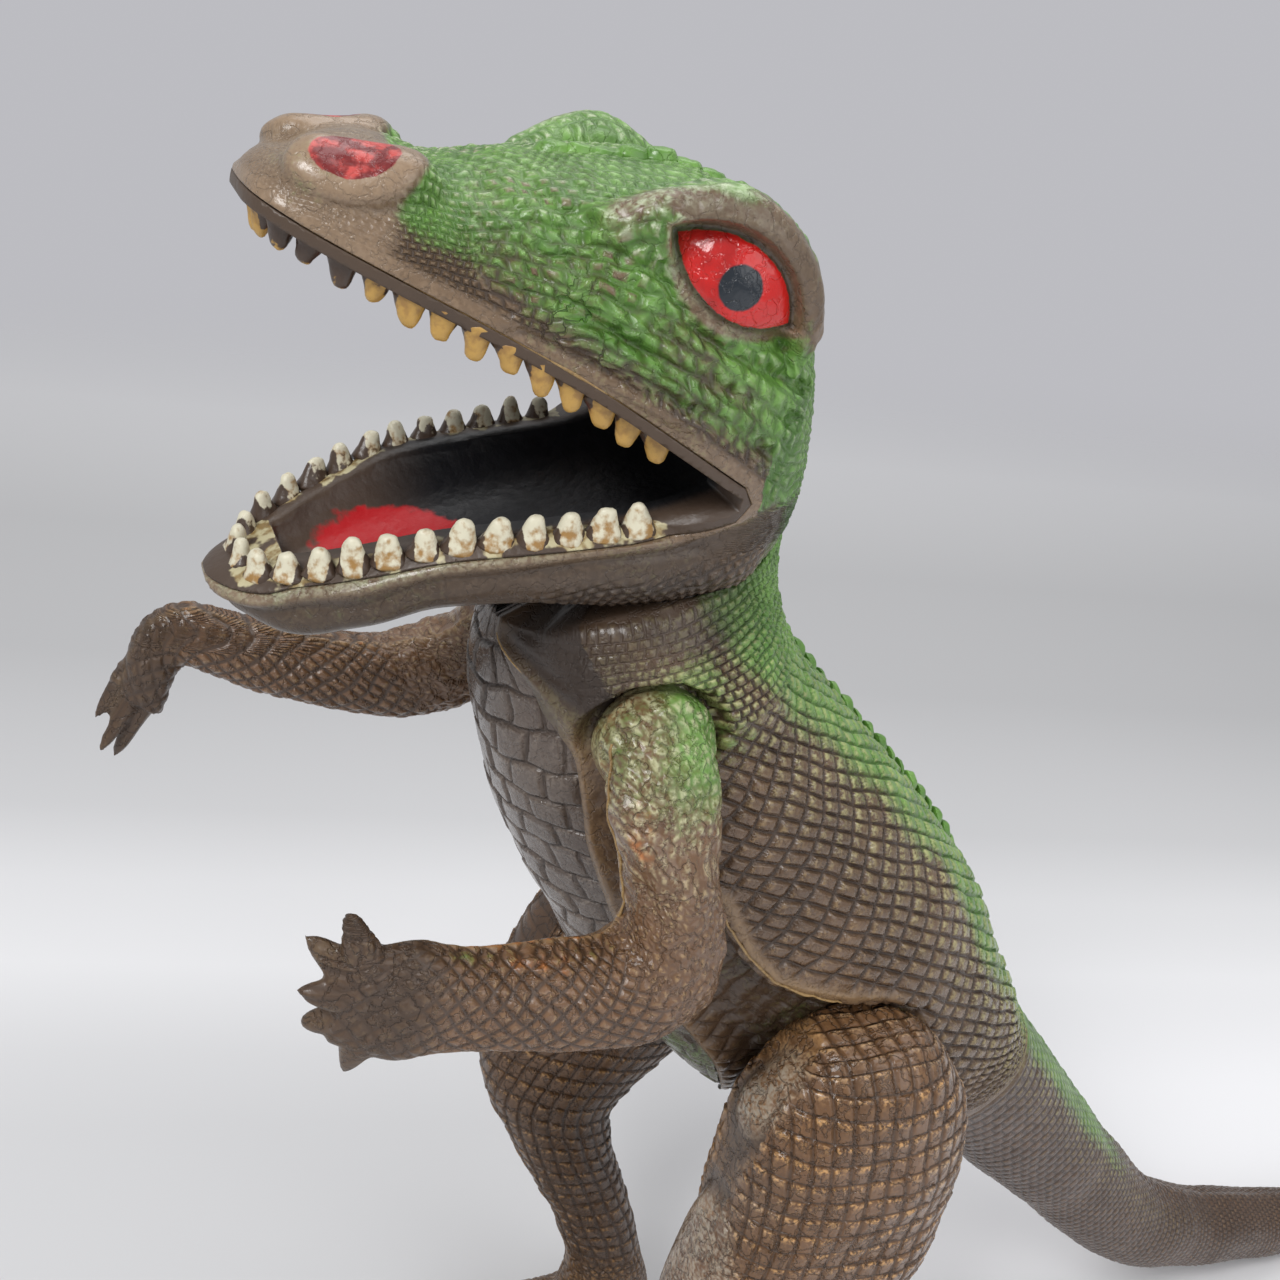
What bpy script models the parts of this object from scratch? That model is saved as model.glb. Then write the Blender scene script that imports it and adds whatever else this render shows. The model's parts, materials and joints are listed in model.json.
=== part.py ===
"""Hollow vinyl toy theropod, standing on two feet with its tail on the floor.

The figure faces -Y, its left side is +X and +Z is up. It is built as thin
moulded shells: a two-part head with a separate mouth liner, a body of two side
shells and a belly shell, and arms, legs and tail of two halves each. Headed
swivel plugs carry the head, the arms, the legs and the tail.

Outlines are drawn by eye in head lengths: a section is given by a point on its
front or upper side and a point on its back or lower side, both as (forward,
up), and by its middle and its half width across the figure.
"""

import math

import bmesh
import bpy
from mathutils import Matrix, Vector

# Driving sizes, in metres
HEAD_LENGTH = 0.100
SHELL_WALL = 0.0025
LINER_WALL = 0.0020
SEAM_GAP = 0.0003
SWIVEL_GAP = 0.0003
LINER_GAP = 0.0003
CUT_OVERRUN = 0.004
MERGE_DISTANCE = 0.000001

NECK_PLUG_RADIUS = 0.0120
NECK_HEAD_RIM = 0.0030
SHOULDER_PLUG_RADIUS = 0.0045
SHOULDER_HEAD_RIM = 0.0025
HIP_PLUG_RADIUS = 0.0080
HIP_HEAD_RIM = 0.0035
TAIL_PLUG_RADIUS = 0.0080
TAIL_HEAD_RIM = 0.0030
PLUG_HEAD_THICKNESS = 0.0020

HIP_RECESS_GAP = 0.0010
BOSS_CLEARANCE = 0.0010
GROIN_DEPTH = 0.0040
BELLY_SET_IN = 0.0013

TOOTH_HEIGHT = 0.0060
TOOTH_RADIUS = 0.0027
TOOTH_LEAN = 0.0010
UPPER_TEETH_A_SIDE = 14
LOWER_TEETH_A_SIDE = 13

# Segment counts round each form
HEAD_SEGMENTS = 18
TORSO_SEGMENTS = 20
ARM_SEGMENTS = 10
LEG_SEGMENTS = 14
TAIL_SEGMENTS = 12
PLUG_SEGMENTS = 16
TOOTH_SEGMENTS = 4
DIGIT_SEGMENTS = 6

SMOOTH_ANGLE = math.radians(40)

# Sections in head lengths: upper or front point (forward, up), lower or back
# point (forward, up), middle across, half width across
SKULL_SHARES = (
    ((0.13, 2.75), (0.095, 2.55), 0.00, 0.10),
    ((0.13, 2.92), (0.15, 2.47), 0.00, 0.22),
    ((0.20, 3.05), (0.28, 2.40), 0.00, 0.30),
    ((0.33, 3.14), (0.38, 2.46), 0.00, 0.335),
    ((0.48, 3.15), (0.48, 2.60), 0.00, 0.325),
    ((0.61, 3.14), (0.60, 2.70), 0.00, 0.28),
    ((0.76, 3.12), (0.74, 2.79), 0.00, 0.235),
    ((0.90, 3.11), (0.87, 2.86), 0.00, 0.195),
    ((1.00, 3.08), (0.97, 2.93), 0.00, 0.145),
    ((1.06, 3.05), (1.045, 2.99), 0.00, 0.08),
)
JAW_SHARES = (
    ((0.14, 2.66), (0.18, 2.47), 0.00, 0.19),
    ((0.24, 2.69), (0.27, 2.42), 0.00, 0.285),
    ((0.40, 2.68), (0.40, 2.40), 0.00, 0.31),
    ((0.57, 2.65), (0.58, 2.41), 0.00, 0.295),
    ((0.74, 2.61), (0.74, 2.395), 0.00, 0.265),
    ((0.88, 2.54), (0.87, 2.345), 0.00, 0.225),
    ((0.99, 2.48), (0.97, 2.33), 0.00, 0.165),
    ((1.06, 2.45), (1.05, 2.36), 0.00, 0.095),
    ((1.09, 2.43), (1.08, 2.40), 0.00, 0.04),
)
BROW_SHARES = (
    ((0.59, 3.11), (0.59, 3.04), 0.22, 0.04),
    ((0.48, 3.15), (0.48, 3.04), 0.255, 0.065),
    ((0.37, 3.165), (0.38, 3.02), 0.275, 0.078),
    ((0.26, 3.09), (0.28, 2.95), 0.28, 0.072),
    ((0.21, 2.98), (0.25, 2.88), 0.275, 0.05),
)
NOSTRIL_SHARES = (
    ((1.00, 3.10), (0.99, 3.05), 0.09, 0.035),
    ((0.96, 3.135), (0.95, 3.04), 0.11, 0.05),
    ((0.90, 3.15), (0.89, 3.04), 0.125, 0.055),
    ((0.84, 3.145), (0.83, 3.05), 0.14, 0.045),
    ((0.80, 3.12), (0.80, 3.07), 0.145, 0.03),
)
TORSO_SHARES = (
    ((0.60, 2.36), (0.085, 2.56), 0.00, 0.25),
    ((0.61, 2.25), (0.06, 2.43), 0.00, 0.265),
    ((0.595, 2.12), (-0.03, 2.27), 0.00, 0.30),
    ((0.555, 1.98), (-0.19, 2.11), 0.00, 0.33),
    ((0.49, 1.84), (-0.36, 1.95), 0.00, 0.355),
    ((0.41, 1.69), (-0.53, 1.77), 0.00, 0.37),
    ((0.31, 1.54), (-0.66, 1.58), 0.00, 0.37),
    ((0.17, 1.38), (-0.77, 1.40), 0.00, 0.355),
    ((0.01, 1.22), (-0.83, 1.31), 0.00, 0.325),
    ((-0.28, 1.08), (-0.87, 1.26), 0.00, 0.27),
    ((-0.57, 0.99), (-0.88, 1.24), 0.00, 0.21),
)
TAIL_SHARES = (
    ((-0.88, 1.24), (-0.57, 0.99), 0.00, 0.21),
    ((-1.01, 1.09), (-0.74, 0.85), 0.00, 0.185),
    ((-1.16, 0.92), (-0.92, 0.69), 0.00, 0.165),
    ((-1.32, 0.74), (-1.11, 0.53), 0.00, 0.145),
    ((-1.48, 0.57), (-1.31, 0.35), 0.00, 0.13),
    ((-1.64, 0.42), (-1.54, 0.18), 0.00, 0.12),
    ((-1.84, 0.315), (-1.80, 0.09), 0.00, 0.11),
    ((-2.06, 0.255), (-2.05, 0.045), 0.00, 0.10),
    ((-2.33, 0.195), (-2.32, 0.01), 0.00, 0.085),
    ((-2.60, 0.155), (-2.60, 0.00), 0.00, 0.068),
    ((-2.82, 0.125), (-2.82, 0.02), 0.00, 0.045),
    ((-2.98, 0.115), (-2.98, 0.085), 0.00, 0.015),
)
LEFT_ARM_SHARES = (
    ((0.41, 2.38), (0.33, 2.375), 0.36, 0.035),
    ((0.45, 2.33), (0.29, 2.32), 0.375, 0.08),
    ((0.465, 2.22), (0.265, 2.21), 0.395, 0.10),
    ((0.45, 2.10), (0.265, 2.06), 0.415, 0.095),
    ((0.435, 2.01), (0.245, 1.92), 0.44, 0.09),
    ((0.445, 1.955), (0.27, 1.79), 0.455, 0.088),
    ((0.49, 1.935), (0.385, 1.745), 0.465, 0.086),
    ((0.57, 1.945), (0.55, 1.755), 0.475, 0.08),
    ((0.67, 1.97), (0.68, 1.795), 0.485, 0.07),
    ((0.75, 2.01), (0.78, 1.86), 0.495, 0.06),
    ((0.80, 2.075), (0.86, 1.89), 0.505, 0.05),
    ((0.86, 2.105), (0.92, 1.91), 0.505, 0.035),
)
RIGHT_ARM_SHARES = (
    ((0.41, 2.38), (0.33, 2.375), 0.36, 0.035),
    ((0.455, 2.33), (0.28, 2.32), 0.375, 0.08),
    ((0.48, 2.23), (0.26, 2.20), 0.395, 0.10),
    ((0.52, 2.13), (0.32, 2.03), 0.42, 0.095),
    ((0.60, 2.07), (0.44, 1.92), 0.44, 0.09),
    ((0.71, 2.055), (0.62, 1.875), 0.455, 0.085),
    ((0.84, 2.075), (0.79, 1.905), 0.47, 0.078),
    ((0.95, 2.10), (0.93, 1.945), 0.48, 0.07),
    ((1.05, 2.12), (1.03, 1.985), 0.49, 0.06),
    ((1.125, 2.09), (1.055, 1.985), 0.50, 0.05),
    ((1.165, 2.01), (1.075, 1.945), 0.50, 0.055),
    ((1.18, 1.93), (1.095, 1.88), 0.50, 0.045),
)
LEFT_LEG_SHARES = (
    ((-0.05, 1.60), (-0.26, 1.60), 0.415, 0.09),
    ((0.02, 1.545), (-0.33, 1.545), 0.42, 0.135),
    ((0.08, 1.445), (-0.39, 1.445), 0.42, 0.165),
    ((0.10, 1.32), (-0.415, 1.32), 0.425, 0.18),
    ((0.12, 1.18), (-0.41, 1.17), 0.43, 0.18),
    ((0.15, 1.05), (-0.385, 1.01), 0.435, 0.175),
    ((0.18, 0.92), (-0.33, 0.84), 0.44, 0.16),
    ((0.185, 0.79), (-0.25, 0.68), 0.44, 0.14),
    ((0.12, 0.63), (-0.20, 0.55), 0.44, 0.118),
    ((0.02, 0.48), (-0.22, 0.43), 0.44, 0.105),
    ((-0.04, 0.34), (-0.24, 0.30), 0.44, 0.098),
    ((-0.02, 0.21), (-0.27, 0.18), 0.44, 0.105),
    ((0.02, 0.11), (-0.28, 0.09), 0.44, 0.11),
)
RIGHT_LEG_SHARES = (
    ((-0.05, 1.60), (-0.26, 1.60), 0.415, 0.09),
    ((0.03, 1.545), (-0.33, 1.545), 0.42, 0.135),
    ((0.11, 1.455), (-0.40, 1.425), 0.42, 0.165),
    ((0.19, 1.35), (-0.415, 1.26), 0.42, 0.18),
    ((0.27, 1.24), (-0.34, 1.09), 0.405, 0.175),
    ((0.32, 1.12), (-0.20, 0.96), 0.375, 0.16),
    ((0.345, 1.00), (-0.08, 0.86), 0.345, 0.14),
    ((0.34, 0.89), (0.00, 0.79), 0.32, 0.125),
    ((0.28, 0.75), (0.00, 0.70), 0.295, 0.112),
    ((0.18, 0.57), (-0.05, 0.55), 0.275, 0.10),
    ((0.10, 0.40), (-0.11, 0.38), 0.26, 0.095),
    ((0.06, 0.27), (-0.15, 0.25), 0.255, 0.095),
    ((0.07, 0.17), (-0.18, 0.16), 0.255, 0.10),
    ((0.10, 0.10), (-0.19, 0.08), 0.255, 0.105),
)
# Foot sections from heel to ball: forward from the ankle, height, half width
FOOT_SHARES = (
    (-0.15, 0.08, 0.06),
    (-0.11, 0.14, 0.10),
    (0.00, 0.175, 0.115),
    (0.14, 0.145, 0.13),
    (0.26, 0.115, 0.142),
    (0.36, 0.09, 0.145),
)
# The sole starts this far under the floor, which cuts it flat
SOLE_SINK_SHARE = 0.02
# Toes: root forward, root across, tip forward, tip across, root radius
TOE_SHARES = (
    (0.30, -0.105, 0.52, -0.17, 0.045),
    (0.31, 0.00, 0.58, 0.00, 0.047),
    (0.30, 0.105, 0.52, 0.17, 0.045),
)
LEFT_ANKLE_SHARE = (-0.14, 0.44)
RIGHT_ANKLE_SHARE = (-0.05, 0.255)
# Digits of the hands: root (forward, up), tip (forward, up), root radius
LEFT_DIGIT_SHARES = (
    ((0.83, 2.08), (0.92, 2.19), 0.035),
    ((0.88, 2.07), (0.99, 2.11), 0.035),
    ((0.89, 2.02), (1.01, 2.03), 0.035),
    ((0.89, 1.97), (0.99, 1.955), 0.035),
    ((0.85, 1.92), (0.915, 1.84), 0.035),
)
RIGHT_DIGIT_SHARES = (
    ((1.15, 1.97), (1.225, 1.86), 0.035),
    ((1.14, 1.93), (1.215, 1.80), 0.035),
    ((1.12, 1.92), (1.185, 1.77), 0.035),
)
HAND_ACROSS_SHARE = 0.505
DIGIT_SPREAD_SHARE = 0.03

# Mouth outline seen from the side, from its corner outwards: forward, up
UPPER_LIP_SHARES = ((0.30, 2.685), (0.42, 2.755), (0.55, 2.825), (0.71, 2.895),
                    (0.86, 2.955), (0.97, 3.00), (1.07, 3.045), (1.25, 3.12))
LOWER_LIP_SHARES = ((0.30, 2.665), (0.42, 2.625), (0.57, 2.60), (0.74, 2.57),
                    (0.86, 2.525), (0.96, 2.485), (1.04, 2.455), (1.25, 2.44))
# Hollow of the palate and the jaw floor: forward, lower, upper, half width
MOUTH_HOLLOW_SHARES = (
    (0.20, 2.645, 2.745, 0.09),
    (0.27, 2.605, 2.78, 0.165),
    (0.36, 2.58, 2.82, 0.205),
    (0.55, 2.52, 2.89, 0.205),
    (0.74, 2.475, 2.955, 0.185),
    (0.88, 2.44, 3.00, 0.14),
    (0.97, 2.42, 3.02, 0.085),
)
# Gum lines that carry the teeth: forward, half width, from the snout back
UPPER_GUM_SHARES = ((1.025, 0.00), (1.01, 0.06), (0.965, 0.11), (0.87, 0.165), (0.74, 0.21),
                    (0.58, 0.25), (0.42, 0.275))
LOWER_GUM_SHARES = ((1.035, 0.00), (1.015, 0.07), (0.95, 0.135), (0.85, 0.185), (0.72, 0.225),
                    (0.57, 0.25), (0.42, 0.265))

SHOULDER_SHARE = (0.36, 2.22)
HIP_SHARE = (-0.15, 1.32)
THIGH_DISC_SHARE = 0.29
SHOULDER_PLANE_SHARE = 0.275
HIP_PLANE_SHARE = 0.26
HIP_BOSS_SHARE = 0.24
LEG_CLEAR_SHARE = 0.31
# Seam between belly shell and side shells, from the throat to the crotch
BELLY_SEAM_SHARES = ((0.68, 2.35), (0.50, 2.27), (0.44, 2.00), (0.30, 1.70), (0.08, 1.42),
                     (-0.05, 1.15), (-0.12, 0.90))
# Hollow in front of the thigh: along the lip of the flank, then round below it
GROIN_SHARES = ((0.20, 1.90), (0.13, 1.78), (0.06, 1.71), (-0.01, 1.68), (-0.13, 1.64), (-0.33, 1.59),
                (-0.33, 1.30), (0.02, 1.30), (0.12, 1.48), (0.24, 1.70), (0.27, 1.84))
ARM_SEAM_MIDDLE_SHARE = 0.40
LEFT_ARM_SEAM_SLOPE_SHARE = (0.155, -0.147)
RIGHT_ARM_SEAM_SLOPE_SHARE = (0.11, -0.10)
LEFT_LEG_SEAM_SHARE = ((0.43, 1.32), (0.44, 0.60))
RIGHT_LEG_SEAM_SHARE = ((0.42, 1.32), (0.255, 0.30))

# Paint of each moulding: colour, roughness
PAINT = {
    "brown": ((0.085, 0.052, 0.033, 1.0), 0.42),
    "green": ((0.060, 0.130, 0.030, 1.0), 0.45),
    "mouth": ((0.045, 0.028, 0.022, 1.0), 0.50),
    "plug": ((0.030, 0.024, 0.020, 1.0), 0.55),
}


def clear_scene():
    """Remove every object from the open file."""
    for obj in list(bpy.data.objects):
        bpy.data.objects.remove(obj, do_unlink=True)


def point(forward, up, across=0.0):
    """Turn shares of the head length into a place in the figure's frame."""
    return Vector((across, -forward, up)) * HEAD_LENGTH


def power(value, exponent):
    """Signed power, for rounded-square sections."""
    return math.copysign(abs(value) ** exponent, value)


def section_ring(section, segments, side, inset, squareness):
    """Points of one section, drawn in by an inset and mirrored by side."""
    front, back, middle, half = section
    first = point(*front)
    second = point(*back)
    centre = (first + second) / 2 + Vector((side * middle * HEAD_LENGTH, 0, 0))
    along = (first - second) / 2
    reach = max(along.length - inset, 0)
    width = max(half * HEAD_LENGTH - inset, 0)
    along = along.normalized() * reach
    exponent = 2 / squareness
    ring = []
    for step in range(segments):
        angle = 2 * math.pi * step / segments
        ring.append(centre + along * power(math.cos(angle), exponent)
                    + Vector((width * power(math.sin(angle), exponent), 0, 0)))
    return ring


def loft(name, rings):
    """Skin a row of rings with quads and close both ends."""
    mesh = bmesh.new()
    rows = [[mesh.verts.new(place) for place in ring] for ring in rings]
    count = len(rows[0])
    for lower, upper in zip(rows, rows[1:]):
        for step in range(count):
            following = (step + 1) % count
            mesh.faces.new((lower[step], lower[following], upper[following], upper[step]))
    mesh.faces.new(rows[0])
    mesh.faces.new(rows[-1])
    mesh.normal_update()
    bmesh.ops.triangulate(mesh, faces=mesh.faces[:], quad_method="SHORT_EDGE")
    bmesh.ops.recalc_face_normals(mesh, faces=mesh.faces[:])
    return to_object(name, mesh)


def to_object(name, mesh):
    """Put a bmesh into a new object of the scene."""
    data = bpy.data.meshes.new(name)
    mesh.to_mesh(data)
    mesh.free()
    obj = bpy.data.objects.new(name, data)
    bpy.context.scene.collection.objects.link(obj)
    return obj


def form(name, shares, segments, side=1, inset=0.0, squareness=2.0, open_ends=()):
    """Loft a table of sections, or the hollow inside it where inset is set.

    An open end (0 or -1) runs past its section, for a plane to cut it later.
    """
    rows = [row for row in shares if thickness(row) > 2 * inset + SHELL_WALL] if inset else list(shares)
    rings = [section_ring(row, segments, side, inset, squareness) for row in rows]
    for end, neighbour in ((0, 1), (-1, -2)):
        direction = middle_of(rings[neighbour]) - middle_of(rings[end])
        inward = -CUT_OVERRUN if end in open_ends else min(inset, direction.length / 2)
        step = direction.normalized() * inward
        rings[end] = [place + step for place in rings[end]]
    return loft(name, rings)


def thickness(row):
    """Least thickness of one section."""
    front, back, _, half = row
    return min((point(*front) - point(*back)).length, 2 * half * HEAD_LENGTH)


def middle_of(ring):
    """Mean place of a ring."""
    return sum(ring, Vector()) / len(ring)


def cone(name, root, tip, radius, segments, tip_share=0.3):
    """A blunt cone from root to tip."""
    direction = (tip - root).normalized()
    turn = direction.to_track_quat("Z", "Y").to_matrix()
    rings = []
    for place, size in ((root, radius), (tip, tip_share * radius)):
        rings.append([place + turn @ Vector((size * math.cos(2 * math.pi * step / segments),
                                             size * math.sin(2 * math.pi * step / segments), 0))
                      for step in range(segments)])
    return loft(name, rings)


def turned(name, profile, origin, axis, segments=PLUG_SEGMENTS):
    """A turned body: rows of (place along the axis, radius)."""
    turn = axis.to_track_quat("Z", "Y").to_matrix()
    rings = []
    for height, radius in profile:
        rings.append([origin + turn @ Vector((radius * math.cos(2 * math.pi * step / segments),
                                              radius * math.sin(2 * math.pi * step / segments), height))
                      for step in range(segments)])
    return loft(name, rings)


def half_space(name, origin, normal, gap=0.0):
    """A large block on the side of a plane that its normal points to."""
    size = 8 * HEAD_LENGTH
    turn = normal.to_track_quat("Z", "Y").to_matrix().to_4x4()
    mesh = bmesh.new()
    bmesh.ops.create_cube(mesh, size=size)
    place = Matrix.Translation(origin + normal.normalized() * (size / 2 + gap)) @ turn
    bmesh.ops.transform(mesh, matrix=place, verts=mesh.verts)
    return to_object(name, mesh)


def prism(name, outline, low, high):
    """Extrude a (forward, up) outline of real places across the figure."""
    rings = [[Vector((across, place.y, place.z)) for place in outline] for across in (low, high)]
    return loft(name, rings)


def combine(target, other, operation, keep=False, solver="EXACT"):
    """Apply one Boolean step to a target and drop the other body."""
    step = target.modifiers.new(operation.lower(), "BOOLEAN")
    step.operation = operation
    step.solver = solver
    step.object = other
    bpy.context.view_layer.update()
    result = bpy.data.meshes.new_from_object(target.evaluated_get(bpy.context.evaluated_depsgraph_get()))
    target.modifiers.remove(step)
    close_slivers(result)
    old = target.data
    target.data = result
    bpy.data.meshes.remove(old)
    if not keep:
        drop(other)
    return target


def cut_flush(target, other, operation, keep=False):
    """A Boolean step where flush facets or feet leave slivers with the exact solver."""
    return combine(target, other, operation, keep, "MANIFOLD")


def close_slivers(data):
    """Merge doubled corners after a Boolean and fill holes of three or four edges."""
    mesh = bmesh.new()
    mesh.from_mesh(data)
    bmesh.ops.remove_doubles(mesh, verts=mesh.verts[:], dist=MERGE_DISTANCE)
    bmesh.ops.dissolve_degenerate(mesh, edges=mesh.edges[:], dist=MERGE_DISTANCE)
    gaps = [edge for edge in mesh.edges if edge.is_boundary]
    if gaps:
        bmesh.ops.holes_fill(mesh, edges=gaps, sides=4)
    mesh.to_mesh(data)
    mesh.free()


def drop(obj):
    """Delete an object and its mesh."""
    data = obj.data
    bpy.data.objects.remove(obj, do_unlink=True)
    bpy.data.meshes.remove(data)


def copy_of(obj, name):
    """A separate copy of an object."""
    twin = obj.copy()
    twin.data = obj.data.copy()
    twin.name = name
    bpy.context.scene.collection.objects.link(twin)
    return twin


def paint_material(kind, name):
    """A Principled material of one of the moulding colours."""
    colour, roughness = PAINT[kind]
    material = bpy.data.materials.new(name)
    material.use_nodes = True
    shader = material.node_tree.nodes["Principled BSDF"]
    shader.inputs["Base Color"].default_value = colour
    shader.inputs["Roughness"].default_value = roughness
    shader.inputs["Metallic"].default_value = 0.0
    return material


def finish(obj, kind, parent, origin):
    """Clean a body, shade it, paint it and hang it from its joint's empty."""
    mesh = bmesh.new()
    mesh.from_mesh(obj.data)
    bmesh.ops.remove_doubles(mesh, verts=mesh.verts[:], dist=MERGE_DISTANCE)
    bmesh.ops.dissolve_degenerate(mesh, edges=mesh.edges[:], dist=MERGE_DISTANCE)
    bmesh.ops.triangulate(mesh, faces=mesh.faces[:])
    bmesh.ops.translate(mesh, verts=mesh.verts[:], vec=-origin)
    mesh.to_mesh(obj.data)
    mesh.free()
    obj.data.materials.clear()
    obj.data.materials.append(paint_material(kind, obj.name + "_paint"))
    obj.data.shade_smooth()
    obj.data.set_sharp_from_angle(angle=SMOOTH_ANGLE)
    obj.parent = parent
    return obj


def joint_empty(name, origin, parent=None):
    """An empty that stands on a joint's axis."""
    empty = bpy.data.objects.new(name, None)
    bpy.context.scene.collection.objects.link(empty)
    empty.parent = parent
    empty.location = origin - (Vector(parent["place"]) if parent else Vector())
    empty["place"] = origin
    return empty


def split(shell, first_name, second_name, origin, normal):
    """Part a shell along a plane, with half the seam gap on each side."""
    other = copy_of(shell, second_name)
    shell.name = first_name
    cut_flush(shell, half_space("cutter", origin, normal, SEAM_GAP / 2), "INTERSECT")
    cut_flush(other, half_space("cutter", origin, -normal, SEAM_GAP / 2), "INTERSECT")
    return shell, other


def lip_outline(offset):
    """Side outline of the mouth, grown outwards by an offset."""
    upper = [point(*share) + Vector((0, 0, offset)) for share in UPPER_LIP_SHARES]
    lower = [point(*share) - Vector((0, 0, offset)) for share in LOWER_LIP_SHARES]
    corner = (upper[0] + lower[0]) / 2 + Vector((0, offset, 0))
    return [corner] + lower + list(reversed(upper))


def mouth_space(name, offset):
    """The open mouth between the lips with its hollow, grown by an offset."""
    reach = 0.6 * HEAD_LENGTH
    space = prism(name, lip_outline(offset), -reach, reach)
    rings = []
    for forward, low, high, half in MOUTH_HOLLOW_SHARES:
        section = ((forward, high), (forward, low), 0.0, half)
        rings.append(section_ring(section, HEAD_SEGMENTS, 1, -offset, 2.6))
    front = Vector((0, -offset, 0))
    rings[-1] = [place + front for place in rings[-1]]
    rings[0] = [place - front for place in rings[0]]
    return combine(space, loft("hollow", rings), "UNION")


def head_solid(name, inset):
    """Skull, snout and lower jaw in one body, or the hollow inside them."""
    body = form(name, SKULL_SHARES, HEAD_SEGMENTS, inset=inset, squareness=2.3)
    combine(body, form("jaw", JAW_SHARES, HEAD_SEGMENTS, inset=inset, squareness=2.3), "UNION")
    if not inset:
        for side in (-1, 1):
            combine(body, form("brow", BROW_SHARES, 8, side), "UNION")
            combine(body, form("nostril", NOSTRIL_SHARES, 8, side), "UNION")
    return body


def gum_places(gum_shares, lip_shares, count):
    """Places of teeth at equal steps along one side of a gum line."""
    def height(forward):
        for (first, low), (second, high) in zip(lip_shares, lip_shares[1:]):
            if first <= forward <= second:
                return low + (high - low) * (forward - first) / (second - first)
        return lip_shares[0][1]

    line = [point(forward, height(forward), across) for forward, across in gum_shares]
    lengths = [0.0]
    for first, second in zip(line, line[1:]):
        lengths.append(lengths[-1] + (second - first).length)
    places = []
    for step in range(count):
        target = lengths[-1] * (step + 0.5) / count
        index = max(i for i, length in enumerate(lengths[:-1]) if length <= target)
        share = (target - lengths[index]) / (lengths[index + 1] - lengths[index])
        places.append(line[index].lerp(line[index + 1], share))
    return places


def mouth_liner(name):
    """The one-piece liner: palate, jaw floor, throat opening and teeth."""
    liner = mouth_space(name, LINER_WALL)
    combine(liner, head_solid("skin", 0.0), "INTERSECT")
    combine(liner, mouth_space("inside", 0.0), "DIFFERENCE")
    throat_forward, throat_low, throat_high, throat_half = MOUTH_HOLLOW_SHARES[0]
    throat = point(throat_forward, (throat_low + throat_high) / 2)
    bore = (throat_half * HEAD_LENGTH - LINER_WALL) / 2
    combine(liner, turned("throat", ((-CUT_OVERRUN, bore), (CUT_OVERRUN, bore)), throat, Vector((0, 1, 0))),
            "DIFFERENCE")
    rows = ((UPPER_GUM_SHARES, UPPER_LIP_SHARES, UPPER_TEETH_A_SIDE, -1),
            (LOWER_GUM_SHARES, LOWER_LIP_SHARES, LOWER_TEETH_A_SIDE, 1))
    for gum_shares, lip_shares, count, sign in rows:
        for place in gum_places(gum_shares, lip_shares, count):
            for side in (-1, 1):
                root = Vector((side * place.x, place.y, place.z - sign * LINER_WALL / 2))
                tip = root + Vector((-side * TOOTH_LEAN, 0, sign * TOOTH_HEIGHT))
                combine(liner, cone("tooth", root, tip, TOOTH_RADIUS, TOOTH_SEGMENTS, 0.3), "UNION")
    return liner


class Swivel:
    """A plane joint between two shells with a headed plug through it.

    The plane faces from the carrying shell towards the moving one.
    """

    def __init__(self, origin, normal, radius, rim):
        self.origin = origin
        self.normal = normal.normalized()
        self.radius = radius
        self.rim = rim

    def bore(self):
        """Cutter for the hole that the plug's stem runs in."""
        reach = SHELL_WALL + CUT_OVERRUN
        return turned("bore", ((-reach, self.radius + SWIVEL_GAP), (reach, self.radius + SWIVEL_GAP)),
                      self.origin, self.normal)

    def plug(self, name):
        """Stem with a head inside each of the two walls."""
        inner = SHELL_WALL + 2 * SWIVEL_GAP
        outer = SHELL_WALL + 2 * SWIVEL_GAP
        head = self.radius + self.rim
        profile = ((-inner - PLUG_HEAD_THICKNESS, head), (-inner, head), (-inner, self.radius),
                   (outer, self.radius), (outer, head), (outer + PLUG_HEAD_THICKNESS, head))
        return turned(name, profile, self.origin, self.normal)

    def carrying_side(self, offset=0.0):
        """Block that leaves what lies on the carrying side."""
        return half_space("carry", self.origin, -self.normal, SWIVEL_GAP / 2 + offset)

    def moving_side(self, offset=0.0):
        """Block that leaves what lies on the moving side."""
        return half_space("move", self.origin, self.normal, SWIVEL_GAP / 2 + offset)


def neck_swivel():
    """Head turns about the neck, square to the line of the jaw."""
    front = point(*TORSO_SHARES[0][0])
    back = point(*TORSO_SHARES[0][1])
    line = front - back
    return Swivel((front + back) / 2, Vector((0, -line.z, line.y)) * -1, NECK_PLUG_RADIUS, NECK_HEAD_RIM)


def tail_swivel():
    """Tail turns about its own root."""
    top = point(*TAIL_SHARES[0][0])
    low = point(*TAIL_SHARES[0][1])
    line = top - low
    return Swivel((top + low) / 2, Vector((0, line.z, -line.y)), TAIL_PLUG_RADIUS, TAIL_HEAD_RIM)


def side_swivel(shares, plane, side, radius, rim):
    """A limb's swivel across the figure, on a flat facet of the body."""
    origin = point(*shares) + Vector((side * plane, 0, 0))
    return Swivel(origin, Vector((side, 0, 0)), radius, rim)


def head_shells(neck):
    """Left and right head shells, open at the mouth and bored for the neck."""
    shell = combine(head_solid("head", 0.0), neck.moving_side(), "INTERSECT")
    hollow = combine(head_solid("head_hollow", SHELL_WALL), neck.moving_side(SHELL_WALL), "INTERSECT")
    combine(shell, hollow, "DIFFERENCE")
    combine(shell, mouth_space("mouth", LINER_WALL + LINER_GAP), "DIFFERENCE")
    combine(shell, neck.bore(), "DIFFERENCE")
    return split(shell, "head_left_shell", "head_right_shell", Vector(), Vector((1, 0, 0)))


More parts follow.
